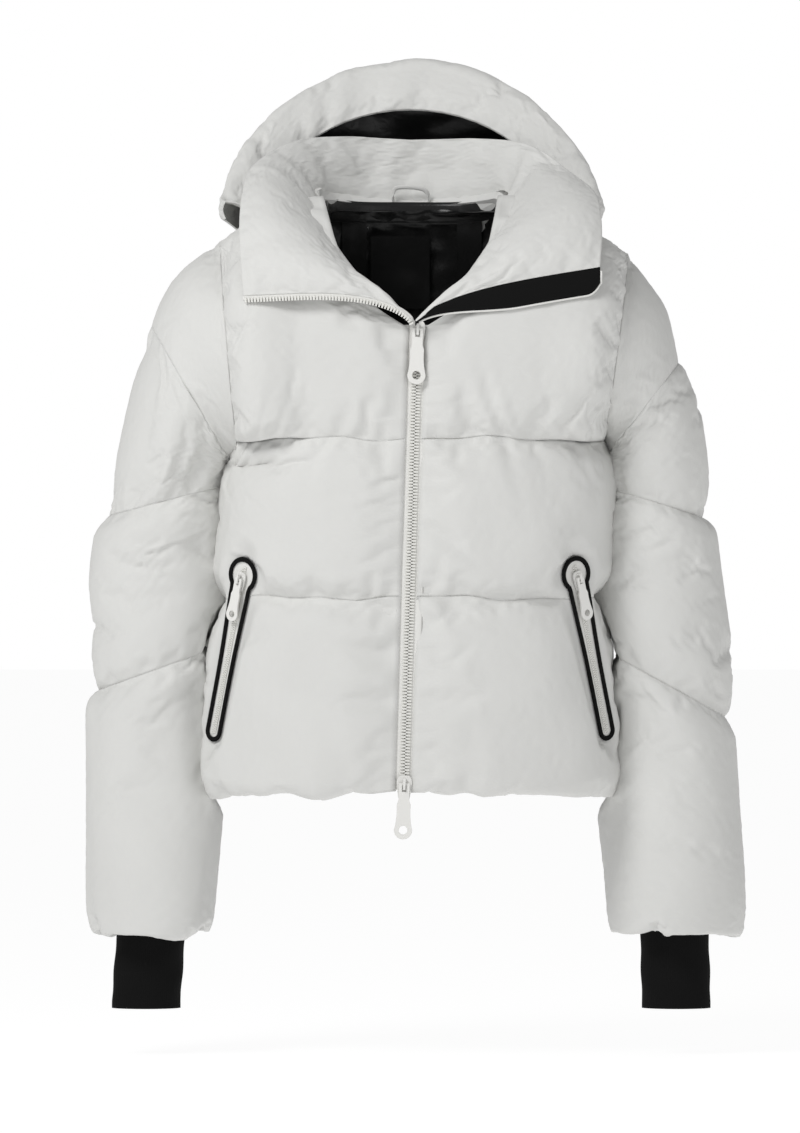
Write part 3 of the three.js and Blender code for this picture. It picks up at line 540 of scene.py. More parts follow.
class PocketFrame:
    """x runs across the zip, y into the body and z up the zip, from the middle of the round head."""

    def __init__(self, side):
        head, foot = POCKETS[side]["head"], POCKETS[side]["foot"]
        sign = SIDES[side]
        top, low = (body_point(x * sign, z, side, -1, -9.75) for x, z in (head, foot))
        up = top - low
        self.length = np.linalg.norm(up)
        up /= self.length
        middle = (head[1] + foot[1]) / 2
        near = body_point((head[0] - 60) * sign, middle, side, -1)
        far = body_point((foot[0] - 5) * sign, middle, side, -1)
        inward = np.cross(up, (far - near) * sign)
        inward /= np.linalg.norm(inward)
        self.axes = np.stack([np.cross(inward, up), inward, up])
        self.origin = top

    def local(self, points):
        return (points - self.origin) @ self.axes.T

    def world(self, points):
        return np.asarray(points, float) @ self.axes + self.origin

    def half_width(self, z):
        """Half the width of the piping's outer outline at a local height."""
        low = -self.length + POCKET_FOOT
        head = np.sqrt(np.maximum(0, POCKET_HEAD**2 - z**2))
        narrow = mix(POCKET_FOOT, POCKET_HEAD * 0.72, smooth((z + 62) / 50) ** 2)
        foot = np.sqrt(np.maximum(0, POCKET_FOOT**2 - (z - low) ** 2))
        return np.where(z > -11, head, np.where(z > low, narrow, foot))

    def outline(self, offset):
        """The outline as local x and z, moved outwards by offset, once round against the clock."""
        steps = 18
        low = -self.length + POCKET_FOOT
        lean = 0.75
        arc = np.linspace(-lean, math.pi + lean, steps * 2)
        head = np.stack([np.cos(arc), np.sin(arc)], 1) * (POCKET_HEAD + offset)
        bottom = np.linspace(math.pi, 2 * math.pi, steps)
        foot = np.stack([np.cos(bottom), np.sin(bottom)], 1) * (POCKET_FOOT + offset) + [0, low]
        z = np.linspace(head[-1, 1], low, steps * 2)[1:-1]
        t = smooth((z - low) / (head[-1, 1] - low)) ** 3
        width = mix(POCKET_FOOT, head[0, 0] - offset * math.cos(lean), t) + offset
        down = np.stack([-width, z], 1)
        return np.concatenate([head, down, foot, down[::-1] * [-1, 1]])


POCKET_FRAMES = {side: PocketFrame(side) for side in SIDES}


def settle_on_pockets(points):
    """The shell lies flat under each pocket's piping and rises softly around it, short of the side seam."""
    inside = smooth((BODY_Y - 4 - points[..., 1]) / 18)
    for frame_of in POCKET_FRAMES.values():
        at = frame_of.local(points)
        along = np.maximum(0, at[..., 2] - POCKET_HEAD) + np.maximum(0, -frame_of.length - at[..., 2])
        clear = np.hypot(np.maximum(0, np.abs(at[..., 0]) - frame_of.half_width(at[..., 2])), along)
        hold = (1 - smooth((clear - 1.5) / 20)) * (np.abs(at[..., 1]) < POCKET_DEPTH) * inside
        under = smooth((frame_of.half_width(at[..., 2]) - PIPING / 2 - np.abs(at[..., 0])) / 3)
        at[..., 1] = mix(at[..., 1], UNDER_PIPING + UNDER_ZIP * under, hold)
        points = frame_of.world(at)
    return points


# ---------- the collar's surface ----------
# The collar's seam to the neck and its free edge, from the middle of the back round to the zip.
COLLAR = {
    "right": {
        "seam": [(0, 9, 1), (-48, 1, 1), (-80, -28, 2), (-84, -72, -6), (-73, -128, -36), (-55, -168, -64),
                 (-30, -192, -92), (1, -201, -116)],
        "free": [(0, 22, 61), (-62, 10, 64), (-112, -28, 57), (-148, -78, 32), (-157, -122, 4),
                 (-159, -160, -30), (-157, -182, -66), (-155, -190, -93)],
        "rise": 17,
    },
    "left": {
        "seam": [(0, 9, 1), (50, 1, 1), (84, -28, 4), (88, -72, -4), (76, -128, -34), (62, -168, -58),
                 (40, -192, -86), (4, -201, -116)],
        "free": [(0, 22, 61), (62, 10, 62), (112, -28, 54), (150, -78, 26), (171, -122, 6),
                 (176, -152, -14), (177, -170, -38), (175, -182, -66)],
        "rise": 12,
    },
}


COLLAR_CURVES = {edge: [*COLLAR["right"][edge][::-1], *COLLAR["left"][edge][1:]] for edge in ("seam", "free")}


def collar_surface(u, v):
    """u runs from the right zip edge round the neck to the left one, and v from the seam to the free edge."""
    u, v = u + 0 * v, v + 0 * u
    seam, free = spline(COLLAR_CURVES["seam"], u), spline(COLLAR_CURVES["free"], u)
    away = np.abs(2 * u - 1)
    points = seam + (free - seam) * v[..., None]
    roll = np.sin(math.pi * v) * (1 - 0.55 * away)
    points[..., 1] -= roll * mix(-9, 13, smooth(away * 2))
    points[..., 2] += roll * 14 * smooth((away - 0.2) * 2) * (1 - smooth((away - 0.8) / 0.2))
    rise = np.where(u < 0.5, COLLAR["right"]["rise"], COLLAR["left"]["rise"])
    points[..., 2] += rise * smooth((away - 0.72) / 0.28) * np.sin(math.pi * v**0.6) * 0.9
    return points


# ---------- the hood's surface ----------
HOOD_HALF_WIDTH = 176
HOOD_HALF_DEPTH = 148
HOOD_Y = -58
HOOD_PEAK_Z = 135
HOOD_SPAN = math.radians(97)
BRIM_WIDTH = 44


def rim_height(turn):
    return HOOD_PEAK_Z * np.maximum(0, np.cos(turn)) ** 1.12


def hood_wall(turn, v, inset=0.0):
    middle = np.maximum(0, np.cos(turn))
    deep = mix(HOOD_HALF_DEPTH, 152, v) + 29 * np.sin(math.pi * v) * middle - inset
    wide = HOOD_HALF_WIDTH + 3 * np.sin(math.pi * v) - inset
    foot = -18 - 98 * middle**2.5
    return points_of(wide * np.sin(turn), HOOD_Y + deep * np.cos(turn), mix(rim_height(turn), foot, v))


def brim(turn, v):
    """The band that is turned in from the rim, at v = 0, to its inner edge, at v = 1."""
    middle = np.maximum(0, np.cos(turn))
    wide = HOOD_HALF_WIDTH - 7 - v * mix(26, 36, 1 - middle)
    deep = HOOD_HALF_DEPTH - 8 - v * 30
    rise = rim_height(turn) + 1 - v * BRIM_WIDTH * mix(0.35, 1, middle)
    return points_of(wide * np.sin(turn), HOOD_Y + deep * np.cos(turn), rise)


def hood_surface(u, v):
    """u runs round the back from right to left, v from the brim's inner edge to the foot."""
    turn = (u * 2 - 1) * HOOD_SPAN + 0 * v
    inner = brim(turn, clamp01(1 - v / 0.28))
    outer = hood_wall(turn, clamp01((v - 0.3) / 0.7))
    rolled = mix(inner, outer, smooth((v + 0 * u - 0.25) / 0.08)[..., None])
    rolled[..., 2] += 5 * np.exp(-(((v - 0.29) / 0.035) ** 2)) * np.cos(turn * 0.9)
    return rolled


# ---------- grids of points, cloth and closed pieces ----------
def grid_of(surface, across, along):
    return surface(np.linspace(0, 1, across + 1)[None, :], np.linspace(0, 1, along + 1)[:, None])


def cell_counts(surface, size):
    """How many cells of a size the surface takes each way, in fours, so that a coarser back can match."""
    rough = grid_of(surface, 24, 24)
    across = np.linalg.norm(np.diff(rough, axis=1), axis=2).sum(1).max()
    along = np.linalg.norm(np.diff(rough, axis=0), axis=2).sum(0).max()
    return [max(4, 4 * round(length / size / 4)) for length in (across, along)]


def grid_normals(points, middle, wrap=False):
    """Normals of a grid of points, facing away from the middle."""
    if wrap:
        ring = np.concatenate([points[:, -2:-1], points, points[:, 1:2]], axis=1)
        across = (ring[:, 2:] - ring[:, :-2])
    else:
        across = np.gradient(points, axis=1)
    normals = np.cross(across, np.gradient(points, axis=0))
    normals /= np.linalg.norm(normals, axis=2, keepdims=True) + 1e-12
    return normals * np.sign(np.sum(normals * (points - middle)))


def seam_distance(points, seams):
    """The distance in mm of each grid point from the nearest of the named borders."""
    distance = np.full(points.shape[:2], 1e6)
    for seam in seams:
        axis = 1 if seam[0] == "u" else 0
        grid = points if seam[1] == "0" else np.flip(points, axis)
        steps = np.linalg.norm(np.diff(grid, axis=axis), axis=2)
        sums = np.cumsum(steps, axis=axis)
        pad = [(0, 0), (1, 0)] if axis == 1 else [(1, 0), (0, 0)]
        sums = np.pad(sums, pad)
        distance = np.minimum(distance, sums if seam[1] == "0" else np.flip(sums, axis))
    return distance


def plump(distance, reach):
    """0 at a seam, rising from a rounded valley to 1 at the given reach."""
    return 1 - (1 - clamp01((np.hypot(distance, 4) - 4) / reach)) ** 2.4


def fill_profile(points, seams, reach):
    """Fill sags, so a chamber is fuller towards its lower seam and thins out towards its upper one."""
    rise = np.ones(points.shape[:2])
    for seam in seams:
        rise *= plump(seam_distance(points, [seam]), reach * SAG.get(seam, 1.0))
    return rise


def turn_outwards(normals, points, borders):
    """At the body's side seams both neighbours swell straight out to the side, so that they meet."""
    outward = np.zeros(points.shape)
    outward[..., 0] = np.sign(points[..., 0])
    turned = mix(outward, normals, fade_in(points, borders, 22)[..., None])
    return turned / (np.linalg.norm(turned, axis=2, keepdims=True) + 1e-12)


def fade_in(points, borders, reach):
    """0 at the named borders, rising to 1 with level ends, for seams that hardly show."""
    share = np.ones(points.shape[:2])
    for border in borders:
        share *= smooth(seam_distance(points, [border]) / reach)
    return share


def puckers(points, seams, seed, height, length, spacing, wrap):
    """Small gathers that run out from the seams: irregular ripples along each one, dying away from it."""
    total = np.zeros(points.shape[:2])
    for number, seam in enumerate(seams):
        rng = np.random.default_rng(seed + number)
        axis = 0 if seam[0] == "u" else 1
        distance = seam_distance(points, [seam])
        steps = np.linalg.norm(np.diff(points, axis=axis), axis=2)
        pad = [(1, 0), (0, 0)] if axis == 0 else [(0, 0), (1, 0)]
        along = np.pad(np.cumsum(steps, axis=axis), pad)
        along = along / along.max(axis=axis, keepdims=True)
        count = int(steps.sum(axis=axis).max() / spacing) + 4
        heights, strengths = rng.uniform(-1, 1, count), rng.uniform(0.1, 1.6, count // 4 + 2)
        if wrap:
            heights[-1], strengths[-1] = heights[0], strengths[0]
        else:
            along = clamp01(along + distance / spacing / count * rng.uniform(-0.6, 0.6))
        ripple, strong = spline(heights, along), spline(strengths, along)
        reach = length * (0.6 + 0.8 * clamp01(strong))
        total += ripple * strong * np.exp(-distance / reach) * (1 - np.exp(-distance / 4))
    return total * height


def soft_noise(shape, seed, blocks, wrap=0.0):
    """Smooth seeded noise over a grid, from -1 to 1."""
    rng = np.random.default_rng(seed)
    coarse = rng.uniform(-1, 1, (blocks[0] + 1, blocks[1] + 1))
    coarse[:, -1] = mix(coarse[:, -1], coarse[:, 0], wrap)
    rows = spline(coarse, np.linspace(0, 1, shape[0]))
    return spline(rows.T, np.linspace(0, 1, shape[1])).T


def refine(points, wrap=False):
    """Twice as many cells each way, on smooth curves through the points."""
    rows, columns = points.shape[:2]
    points = spline(points, np.linspace(0, 1, rows * 2 - 1))
    turned = points.transpose(1, 0, 2)
    if wrap:
        turned = np.concatenate([turned[-3:-1], turned, turned[1:3]])
        inner = np.linspace(2 / (columns + 3), (columns + 1) / (columns + 3), columns * 2 - 1)
        return spline(turned, inner).transpose(1, 0, 2)
    return spline(turned, np.linspace(0, 1, columns * 2 - 1)).transpose(1, 0, 2)


def new_mesh(name, vertices, faces, smooth_faces=None):
    mesh = bpy.data.meshes.new(name)
    mesh.from_pydata((np.asarray(vertices) * MM).tolist(), [], faces)
    count = len(faces) if smooth_faces is None else smooth_faces
    mesh.polygons.foreach_set("use_smooth", [i < count for i in range(len(faces))])
    mesh.update()
    return mesh


def show(name, mesh, material):
    piece = bpy.data.objects.new(name, mesh)
    bpy.context.scene.collection.objects.link(piece)
    mesh.materials.append(material)
    return piece


def grid_faces(rows, columns, start=0, wrap=False, flip=False):
    ids = np.arange(rows * columns).reshape(rows, columns) + start
    if wrap:
        ids = np.concatenate([ids, ids[:, :1]], axis=1)
    quads = np.stack([ids[:-1, :-1], ids[:-1, 1:], ids[1:, 1:], ids[1:, :-1]], axis=-1).reshape(-1, 4)
    return (quads[:, ::-1] if flip else quads).tolist()


def closed_mesh(name, outer, inner, wrap=False):
    """One closed body from a fine outer grid and a coarser backing grid whose borders match it."""
    if wrap:
        outer, inner = outer[:, :-1], inner[:, :-1]
    (rows, columns), (back_rows, back_columns) = outer.shape[:2], inner.shape[:2]
    front = np.arange(rows * columns).reshape(rows, columns)
    back = np.arange(back_rows * back_columns).reshape(back_rows, back_columns) + front.size
    centre = (rows // 2, columns // 2)
    near = (back_rows // 2, back_columns // 2)
    du = outer[centre[0], centre[1] + 1] - outer[centre]
    dv = outer[centre[0] + 1, centre[1]] - outer[centre]
    flip = np.dot(np.cross(du, dv), outer[centre] - inner[near]) < 0
    faces = grid_faces(rows, columns, wrap=wrap, flip=flip)
    smooth_faces = len(faces)
    faces += grid_faces(back_rows, back_columns, start=front.size, wrap=wrap, flip=not flip)
    borders = [(front[0], back[0], True), (front[-1], back[-1], False)]
    if not wrap:
        borders += [(front[:, 0], back[:, 0], False), (front[:, -1], back[:, -1], True)]
    for fine, coarse, turned in borders:
        if wrap:
            fine, coarse = np.append(fine, fine[0]), np.append(coarse, coarse[0])
        step = (len(fine) - 1) // (len(coarse) - 1)
        for i in range(len(coarse) - 1):
            loop = [*fine[i * step : (i + 1) * step + 1][::-1], coarse[i], coarse[i + 1]]
            faces.append([int(k) for k in (loop if turned != flip else loop[::-1])])
    vertices = np.concatenate([outer.reshape(-1, 3), inner.reshape(-1, 3)])
    return new_mesh(name, vertices, faces, smooth_faces)


def keep_behind_pockets(points):
    """The chambers' backs stay behind the pockets' zips."""
    for frame_of in POCKET_FRAMES.values():
        at = frame_of.local(points)
        near = (np.abs(at[..., 0]) < 34) & (at[..., 2] < 32) & (at[..., 2] > -frame_of.length - 16)
        near &= np.abs(at[..., 1]) < POCKET_DEPTH
        at[..., 1] = np.where(near, np.maximum(at[..., 1], BEHIND_ZIP), at[..., 1])
        points = frame_of.world(at)
    return points


class Chamber:
    """A quilted chamber: a cloth face that is sewn down along its borders, and a plain back.

    Borders are named u0, u1, v0 and v1. seams are quilted valleys, flush borders hardly show, and at the
    borders in sides the front and back of the body meet.
    """

    def __init__(self, name, surface, middle, seams, amount, reach=46, thickness=11, wrap=False,
                 pucker=3.6, pucker_length=19, spacing=12, waves=0.3, flush=(), sides=()):
        self.name, self.wrap = name, wrap
        across, along = cell_counts(surface, CELL)
        self.base = grid_of(surface, across, along)
        centre = self.base.mean(1, keepdims=True) if middle is None else middle(self.base)
        self.normals = turn_outwards(grid_normals(self.base, centre, wrap), self.base, sides)
        seed = SEED + sum(ord(letter) for letter in name)
        rise = fill_profile(self.base, seams, reach) * fade_in(self.base, flush, 60)
        swell = 1 + waves * soft_noise(rise.shape, seed, (3, 5), float(wrap)) * fade_in(self.base, sides, 40)
        if callable(amount):
            amount = amount(self.base)
        gathers = puckers(self.base, seams, seed, pucker, pucker_length, spacing, wrap)
        gathers *= fade_in(self.base, [*flush, *sides], 40)
        self.face = self.base + self.normals * (rise * amount * swell + gathers)[..., None]
        edges = ["v0", "v1"] if wrap else ["u0", "u1", "v0", "v1"]
        depth = 2 + (thickness - 2) * rise * fade_in(self.base, edges, 24)
        self.back = (self.base - self.normals * depth[..., None])[::4, ::4]
        self.rise, self.seed = rise, seed
        if wrap:
            self.face[:, -1] = self.face[:, 0]

    def cloth(self, slack, pressure):
        """Adds the sewn-down face to the scene as a cloth under pressure."""
        points = self.face[:, :-1] if self.wrap else self.face
        rows, columns = points.shape[:2]
        rng = np.random.default_rng(self.seed)
        ripple = rng.normal(0, 0.15, (rows, columns)) * (self.rise[:, :columns] > 0.02)
        points = points + self.normals[:, :columns] * ripple[..., None]
        du, dv = points[rows // 2, 2] - points[rows // 2, 1], points[rows // 2 + 1, 1] - points[rows // 2, 1]
        flip = np.dot(np.cross(du, dv), self.normals[rows // 2, 1]) < 0
        faces = grid_faces(rows, columns, wrap=self.wrap, flip=flip)
        mesh = new_mesh(self.name, points.reshape(-1, 3), faces)
        self.body = bpy.data.objects.new(f"{self.name}_cloth", mesh)
        bpy.context.scene.collection.objects.link(self.body)
        border = np.zeros((rows, columns), bool)
        border[[0, -1]] = True
        if not self.wrap:
            border[:, [0, -1]] = True
        pins = self.body.vertex_groups.new(name="sewn")
        pins.add([int(i) for i in np.flatnonzero(border)], 1.0, "REPLACE")
        settings = self.body.modifiers.new("cloth", "CLOTH").settings
        settings.vertex_group_mass = "sewn"
        settings.quality = 4
        settings.mass = 0.2
        settings.tension_stiffness = settings.compression_stiffness = 12
        settings.shear_stiffness = 4
        settings.bending_stiffness = 0.3
        settings.tension_damping = settings.compression_damping = 8
        settings.shrink_min = -slack
        settings.use_pressure = True
        settings.uniform_pressure_force = pressure
        settings.effector_weights.gravity = 0
        self.start = points

    def settle(self, cap):
        """Takes the cloth's shape as the face, moved no further than the cap."""
        depsgraph = bpy.context.evaluated_depsgraph_get()
        mesh = self.body.evaluated_get(depsgraph).data
        moved = np.empty(len(mesh.vertices) * 3, np.float32)
        mesh.vertices.foreach_get("co", moved)
        shift = moved.reshape(self.start.shape) / MM - self.start
        size = np.linalg.norm(shift, axis=2, keepdims=True) + 1e-9
        face = self.start + shift * np.minimum(1, cap / size)
        self.face = np.concatenate([face, face[:, :1]], axis=1) if self.wrap else face
        bpy.data.objects.remove(self.body)

    def piece(self, material):
        face = refine(self.face, self.wrap)
        if self.name.startswith("front_"):
            face = settle_on_pockets(face)
            self.back = keep_behind_pockets(self.back)
        return show(self.name, closed_mesh(self.name, face, self.back, self.wrap), material)


def far_behind(points):
    return points + np.array([0, 1000, -300])


def run_cloth(chambers, frames=20, slack=0.035, pressure=4.0, cap=5):
    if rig.quick():
        return
    scene = bpy.context.scene
    for chamber in chambers:
        chamber.cloth(slack, pressure)
    for step in range(1, frames + 1):
        scene.frame_set(step)
    for chamber in chambers:
        chamber.settle(cap)
    scene.frame_set(1)


def body_middle(points):
    return points_of(0, BODY_Y, points[..., 2])


def hood_middle(points):
    return points_of(0 * points[..., 0], HOOD_Y, points[..., 2] * 0 - 20)


# ---------- materials ----------
def set_inputs(node, **values):
    for name, value in values.items():
        node.inputs[name.replace("_", " ")].default_value = value
    return node


def add_bump(nodes, links, shader, height, strength, distance):
    bump = nodes.new("ShaderNodeBump")
    bump.inputs["Strength"].default_value = strength
    bump.inputs["Distance"].default_value = distance
    links.new(height, bump.inputs["Height"])
    links.new(bump.outputs["Normal"], shader.inputs["Normal"])
    return bump


def cloth_material(name, colour, roughness, sheen=0.0, crumple=0.0004, variation=0.03, specular=0.3):
    """Woven cloth: a fine weave and small creases in the bump, and a slight change of tone."""
    material = bpy.data.materials.new(name)
    material.use_nodes = True
    nodes, links = material.node_tree.nodes, material.node_tree.links
    shader = nodes["Principled BSDF"]
    set_inputs(shader, Roughness=roughness, Sheen_Weight=sheen, Sheen_Roughness=0.4)
    place = nodes.new("ShaderNodeTexCoord").outputs["Object"]
    tone = set_inputs(nodes.new("ShaderNodeTexNoise"), Scale=18.0, Detail=4.0)
    links.new(place, tone.inputs["Vector"])
    ramp = nodes.new("ShaderNodeMapRange")
    set_inputs(ramp, To_Min=1 - variation, To_Max=1 + variation)
    links.new(tone.outputs["Fac"], ramp.inputs["Value"])
    tint = nodes.new("ShaderNodeVectorMath")
    tint.operation = "SCALE"
    tint.inputs[0].default_value = colour
    links.new(ramp.outputs["Result"], tint.inputs["Scale"])
    links.new(tint.outputs["Vector"], shader.inputs["Base Color"])
    creases = set_inputs(nodes.new("ShaderNodeTexNoise"), Scale=95.0, Detail=3.0, Distortion=0.6)
    links.new(place, creases.inputs["Vector"])
    threads = set_inputs(nodes.new("ShaderNodeTexNoise"), Scale=2600.0, Detail=1.0)
    links.new(place, threads.inputs["Vector"])
    set_inputs(shader, Specular_IOR_Level=specular)
    crumpled = add_bump(nodes, links, shader, creases.outputs["Fac"], 0.5, crumple)
    woven = add_bump(nodes, links, shader, threads.outputs["Fac"], 0.25, 0.0002)
    links.new(crumpled.outputs["Normal"], woven.inputs["Normal"])
    return material


def solid_material(name, colour, roughness, edge=0.0, grain=0.0, coat=0.0, specular=0.5):
    """Moulded or enamelled material, with its edges rounded in the shading."""
    material = bpy.data.materials.new(name)
    material.use_nodes = True
    nodes, links = material.node_tree.nodes, material.node_tree.links
    shader = nodes["Principled BSDF"]
    set_inputs(shader, Base_Color=(*colour, 1), Roughness=roughness, Coat_Weight=coat,
               Specular_IOR_Level=specular)
    normal = None
    if edge:
        bevel = nodes.new("ShaderNodeBevel")
        bevel.samples = 6
        bevel.inputs["Radius"].default_value = edge
        normal = bevel.outputs["Normal"]
        links.new(normal, shader.inputs["Normal"])
    if grain:
        noise = set_inputs(nodes.new("ShaderNodeTexNoise"), Scale=900.0, Detail=2.0)
        links.new(nodes.new("ShaderNodeTexCoord").outputs["Object"], noise.inputs["Vector"])
        bump = add_bump(nodes, links, shader, noise.outputs["Fac"], grain, 0.0003)
        if normal:
            links.new(normal, bump.inputs["Normal"])
    return material


def knit_material(name, colour):
    """Fine stretch knit: ribs round the wrist, in the bump."""
    material = cloth_material(name, colour, 0.9, crumple=0.0002, specular=0.12)
    nodes, links = material.node_tree.nodes, material.node_tree.links
    wave = set_inputs(nodes.new("ShaderNodeTexWave"), Scale=160.0, Distortion=0.8)
    wave.bands_direction = "X"
    links.new(nodes.new("ShaderNodeTexCoord").outputs["Object"], wave.inputs["Vector"])
    bump = nodes.new("ShaderNodeBump")
    set_inputs(bump, Strength=0.25, Distance=0.0004)
    links.new(wave.outputs["Fac"], bump.inputs["Height"])
    first = nodes["Principled BSDF"].inputs["Normal"].links[0].from_node
    links.new(bump.outputs["Normal"], first.inputs["Normal"])
    return material


SHELL = cloth_material("shell", (0.68, 0.68, 0.662), 0.66, sheen=0.06)
TAPE = cloth_material("woven_tape", (0.76, 0.755, 0.73), 0.7, crumple=0.0)
LINING = cloth_material("lining", (0.012, 0.012, 0.012), 0.3, crumple=0.0012, variation=0.2)
KNIT = knit_material("knit", (0.005, 0.005, 0.005))
BINDING = solid_material("binding", (0.006, 0.006, 0.006), 0.85, grain=0.3, specular=0.1)
TEETH = solid_material("teeth", (0.76, 0.755, 0.72), 0.4, edge=0.0003)
ENAMEL = solid_material("enamel", (0.78, 0.775, 0.75), 0.32, edge=0.0005, coat=0.2)
LABEL_CLOTH = cloth_material("label", (0.006, 0.006, 0.006), 0.45, crumple=0.0003)


# ---------- the quilted chambers ----------
def torso_chambers():
    found = []
    for side in SIDES:
        chest = Chamber(f"chest_{side}", front_yoke(side), body_middle, ["u0", "v0"], swell_amount,
                        flush=["u1"])
        found.append((chest, [f"front_chest_baffle_{side}"], "jacket_body"))
        for row, low in (("waist", 1), ("hem", 0)):
            surface = front_row(side, ROW_SEAMS_Z[low], ROW_SEAMS_Z[low + 1])
            chamber = Chamber(f"front_{row}_{side}", surface, body_middle, ["u0", "v0", "v1"], swell_amount,
                              sides=["u1"], **(HEM_GATHERS if row == "hem" else {}))
            found.append((chamber, [f"front_{row}_baffle_{side}"], "jacket_body"))
    seams = [*ROW_SEAMS_Z, YOKE_SEAM_Z, None]
    for i, row in enumerate(["hem", "waist", "chest", "yoke"]):
        borders = ["v0"] if row == "yoke" else ["v0", "v1"]
        chamber = Chamber(f"back_{row}", back_row(seams[i], seams[i + 1]), body_middle, borders, swell_amount,
                          **{"flush" if row in ("chest", "yoke") else "sides": ["u0", "u1"]},
                          **(HEM_GATHERS if row == "hem" else {}))
        found.append((chamber, [f"back_{row}_baffle"], "jacket_body"))
    return found


HEM_GATHERS = {"pucker": 5.0, "pucker_length": 30, "spacing": 20}
SLEEVE_ROWS = {"shoulder": [], "upper": ["v1"], "elbow": ["v0", "v1"], "forearm": ["v0", "v1"]}
SLEEVE_FLUSH = {"shoulder": ["v0", "v1"], "upper": ["v0"]}


def sleeve_swell(points):
    """A sleeve swells less on the side that hangs against the body."""
    outer = smooth((np.abs(points[..., 0]) - INNER_SLEEVE_X) / 25)
    return INNER_SLEEVE_SWELL + (SLEEVE_SWELL - INNER_SLEEVE_SWELL) * outer


def sleeve_chambers():
    """A sleeve's rings run downwards, so its fill sags towards v = 1."""
    found = []
    for side in SIDES:
        for i, (ring, seams) in enumerate(SLEEVE_ROWS.items()):
            chamber = Chamber(f"sleeve_{ring}_{side}", sleeve_ring(side, i, i + 1), None, seams,
                              sleeve_swell if i > 1 else SLEEVE_SWELL, reach=38, wrap=True,
                              flush=SLEEVE_FLUSH.get(ring, ()), **(HEM_GATHERS if ring == "forearm" else {}))
            found.append((chamber, [f"sleeve_{ring}_baffle_{side}"], None))
    return found


def collar_chambers():
    collar = Chamber("collar", collar_surface, far_behind, ["u0", "u1", "v0", "v1"], amount=6, reach=26,
                     thickness=9, pucker=1.2, spacing=16, waves=0.4)
    nodes = ["collar_back", "collar_lapel_right", "collar_lapel_left"]
    return [(collar, nodes, "jacket_body")]


def hood_chambers():
    hood = Chamber("hood", hood_surface, hood_middle, ["v0", "v1", "u0", "u1"], amount=2, reach=30,
                   thickness=5, pucker=2.6, pucker_length=26, spacing=22, waves=0.8)
    places = ("left", "right", "centre")
    nodes = [*(f"hood_{place}_panel" for place in places), *(f"hood_brim_{place}" for place in places)]
    return [(hood, nodes, "hood_back")]


HOOD_BEND = (-0.020, 0.065)  # from the part of the hood that stays to the part that lifts, in y
ELBOW_BEND = (-0.459, -0.570)  # down the forearm, in z
ARM_SLOPE = (0.93, -0.37)  # the way in which a sleeve starts to follow the arm, in x and z


def attach(piece, name, body):
    """Says what moves a chamber; at the hood's back and at the arm's joints it shares two bodies."""
    side = name.split("_")[-1]
    if body == "hood_back":
        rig.blend(piece, "jacket_body", "hood_back", *((0, y, 0) for y in HOOD_BEND))
    elif body:
        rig.ride(piece, body)
    elif "forearm" in name:
        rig.blend(piece, f"upper_sleeve_{side}", f"forearm_{side}", *((0, 0, z) for z in ELBOW_BEND))
    else:
        blend_at_shoulder(piece, side)


def blend_at_shoulder(piece, side):
    """The sleeve starts to follow the arm at the armpit, and follows it wholly below the elbow's seam."""
    armpit, elbow = np.array(ARMHOLE[side]["armpit"]), np.array(SLEEVES[side]["inner"][3])
    direction = np.array(ARM_SLOPE)
    reach = direction * np.dot(direction, elbow - armpit)
    start, end = ((x * SIDES[side] * MM, 0, z * MM) for x, z in (armpit, armpit + reach))
    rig.blend(piece, "jacket_body", f"upper_sleeve_{side}", start, end)


quilted = torso_chambers() + sleeve_chambers()
# The collar, the hood and the shoulders are pulled smooth, so they settle apart from the rest.
calm = collar_chambers() + hood_chambers() + [entry for entry in quilted if "shoulder" in entry[0].name]
quilted = [entry for entry in quilted if entry not in calm]
run_cloth([chamber for chamber, _, _ in quilted])
run_cloth([chamber for chamber, _, _ in calm], slack=0.012, pressure=2.0, cap=3)
for chamber, nodes, body in quilted + calm:
    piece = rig.slot(chamber.piece(SHELL), "shell")
    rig.padded(piece, 0.75)
    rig.replaces(piece, *nodes)
    attach(piece, chamber.name, body)


# ---------- swept and boxed trims ----------
def frames_along(path, up):
    """Tangent, side and up vectors at each point of a path."""
    tangent = np.gradient(path, axis=0)
    tangent /= np.linalg.norm(tangent, axis=1, keepdims=True)
    across = np.cross(tangent, up)
    across /= np.linalg.norm(across, axis=1, keepdims=True)
    return tangent, across, np.cross(across, tangent)


def sweep_mesh(name, path, section, up, closed=False):
    """A closed section of (across, up) points carried along a path."""
    _, across, above = frames_along(path, up)
    section = np.asarray(section, float)
    rings = path[:, None] + across[:, None] * section[:, :1] + above[:, None] * section[:, 1:]
    count, sides = len(path), len(section)
    faces = []
    for i in range(count if closed else count - 1):
        here, following = i * sides, ((i + 1) % count) * sides
        for j in range(sides):
            k = (j + 1) % sides
            faces.append([here + j, here + k, following + k, following + j])
    smooth_count = len(faces)
    if not closed:
        faces += [list(range(sides))[::-1], [(count - 1) * sides + j for j in range(sides)]]
    return new_mesh(name, rings.reshape(-1, 3), faces, smooth_count)


def round_section(width, height, sides=8):
    turns = np.arange(sides) / sides * 2 * math.pi
    return np.stack([np.cos(turns) * width / 2, np.sin(turns) * height / 2], 1)


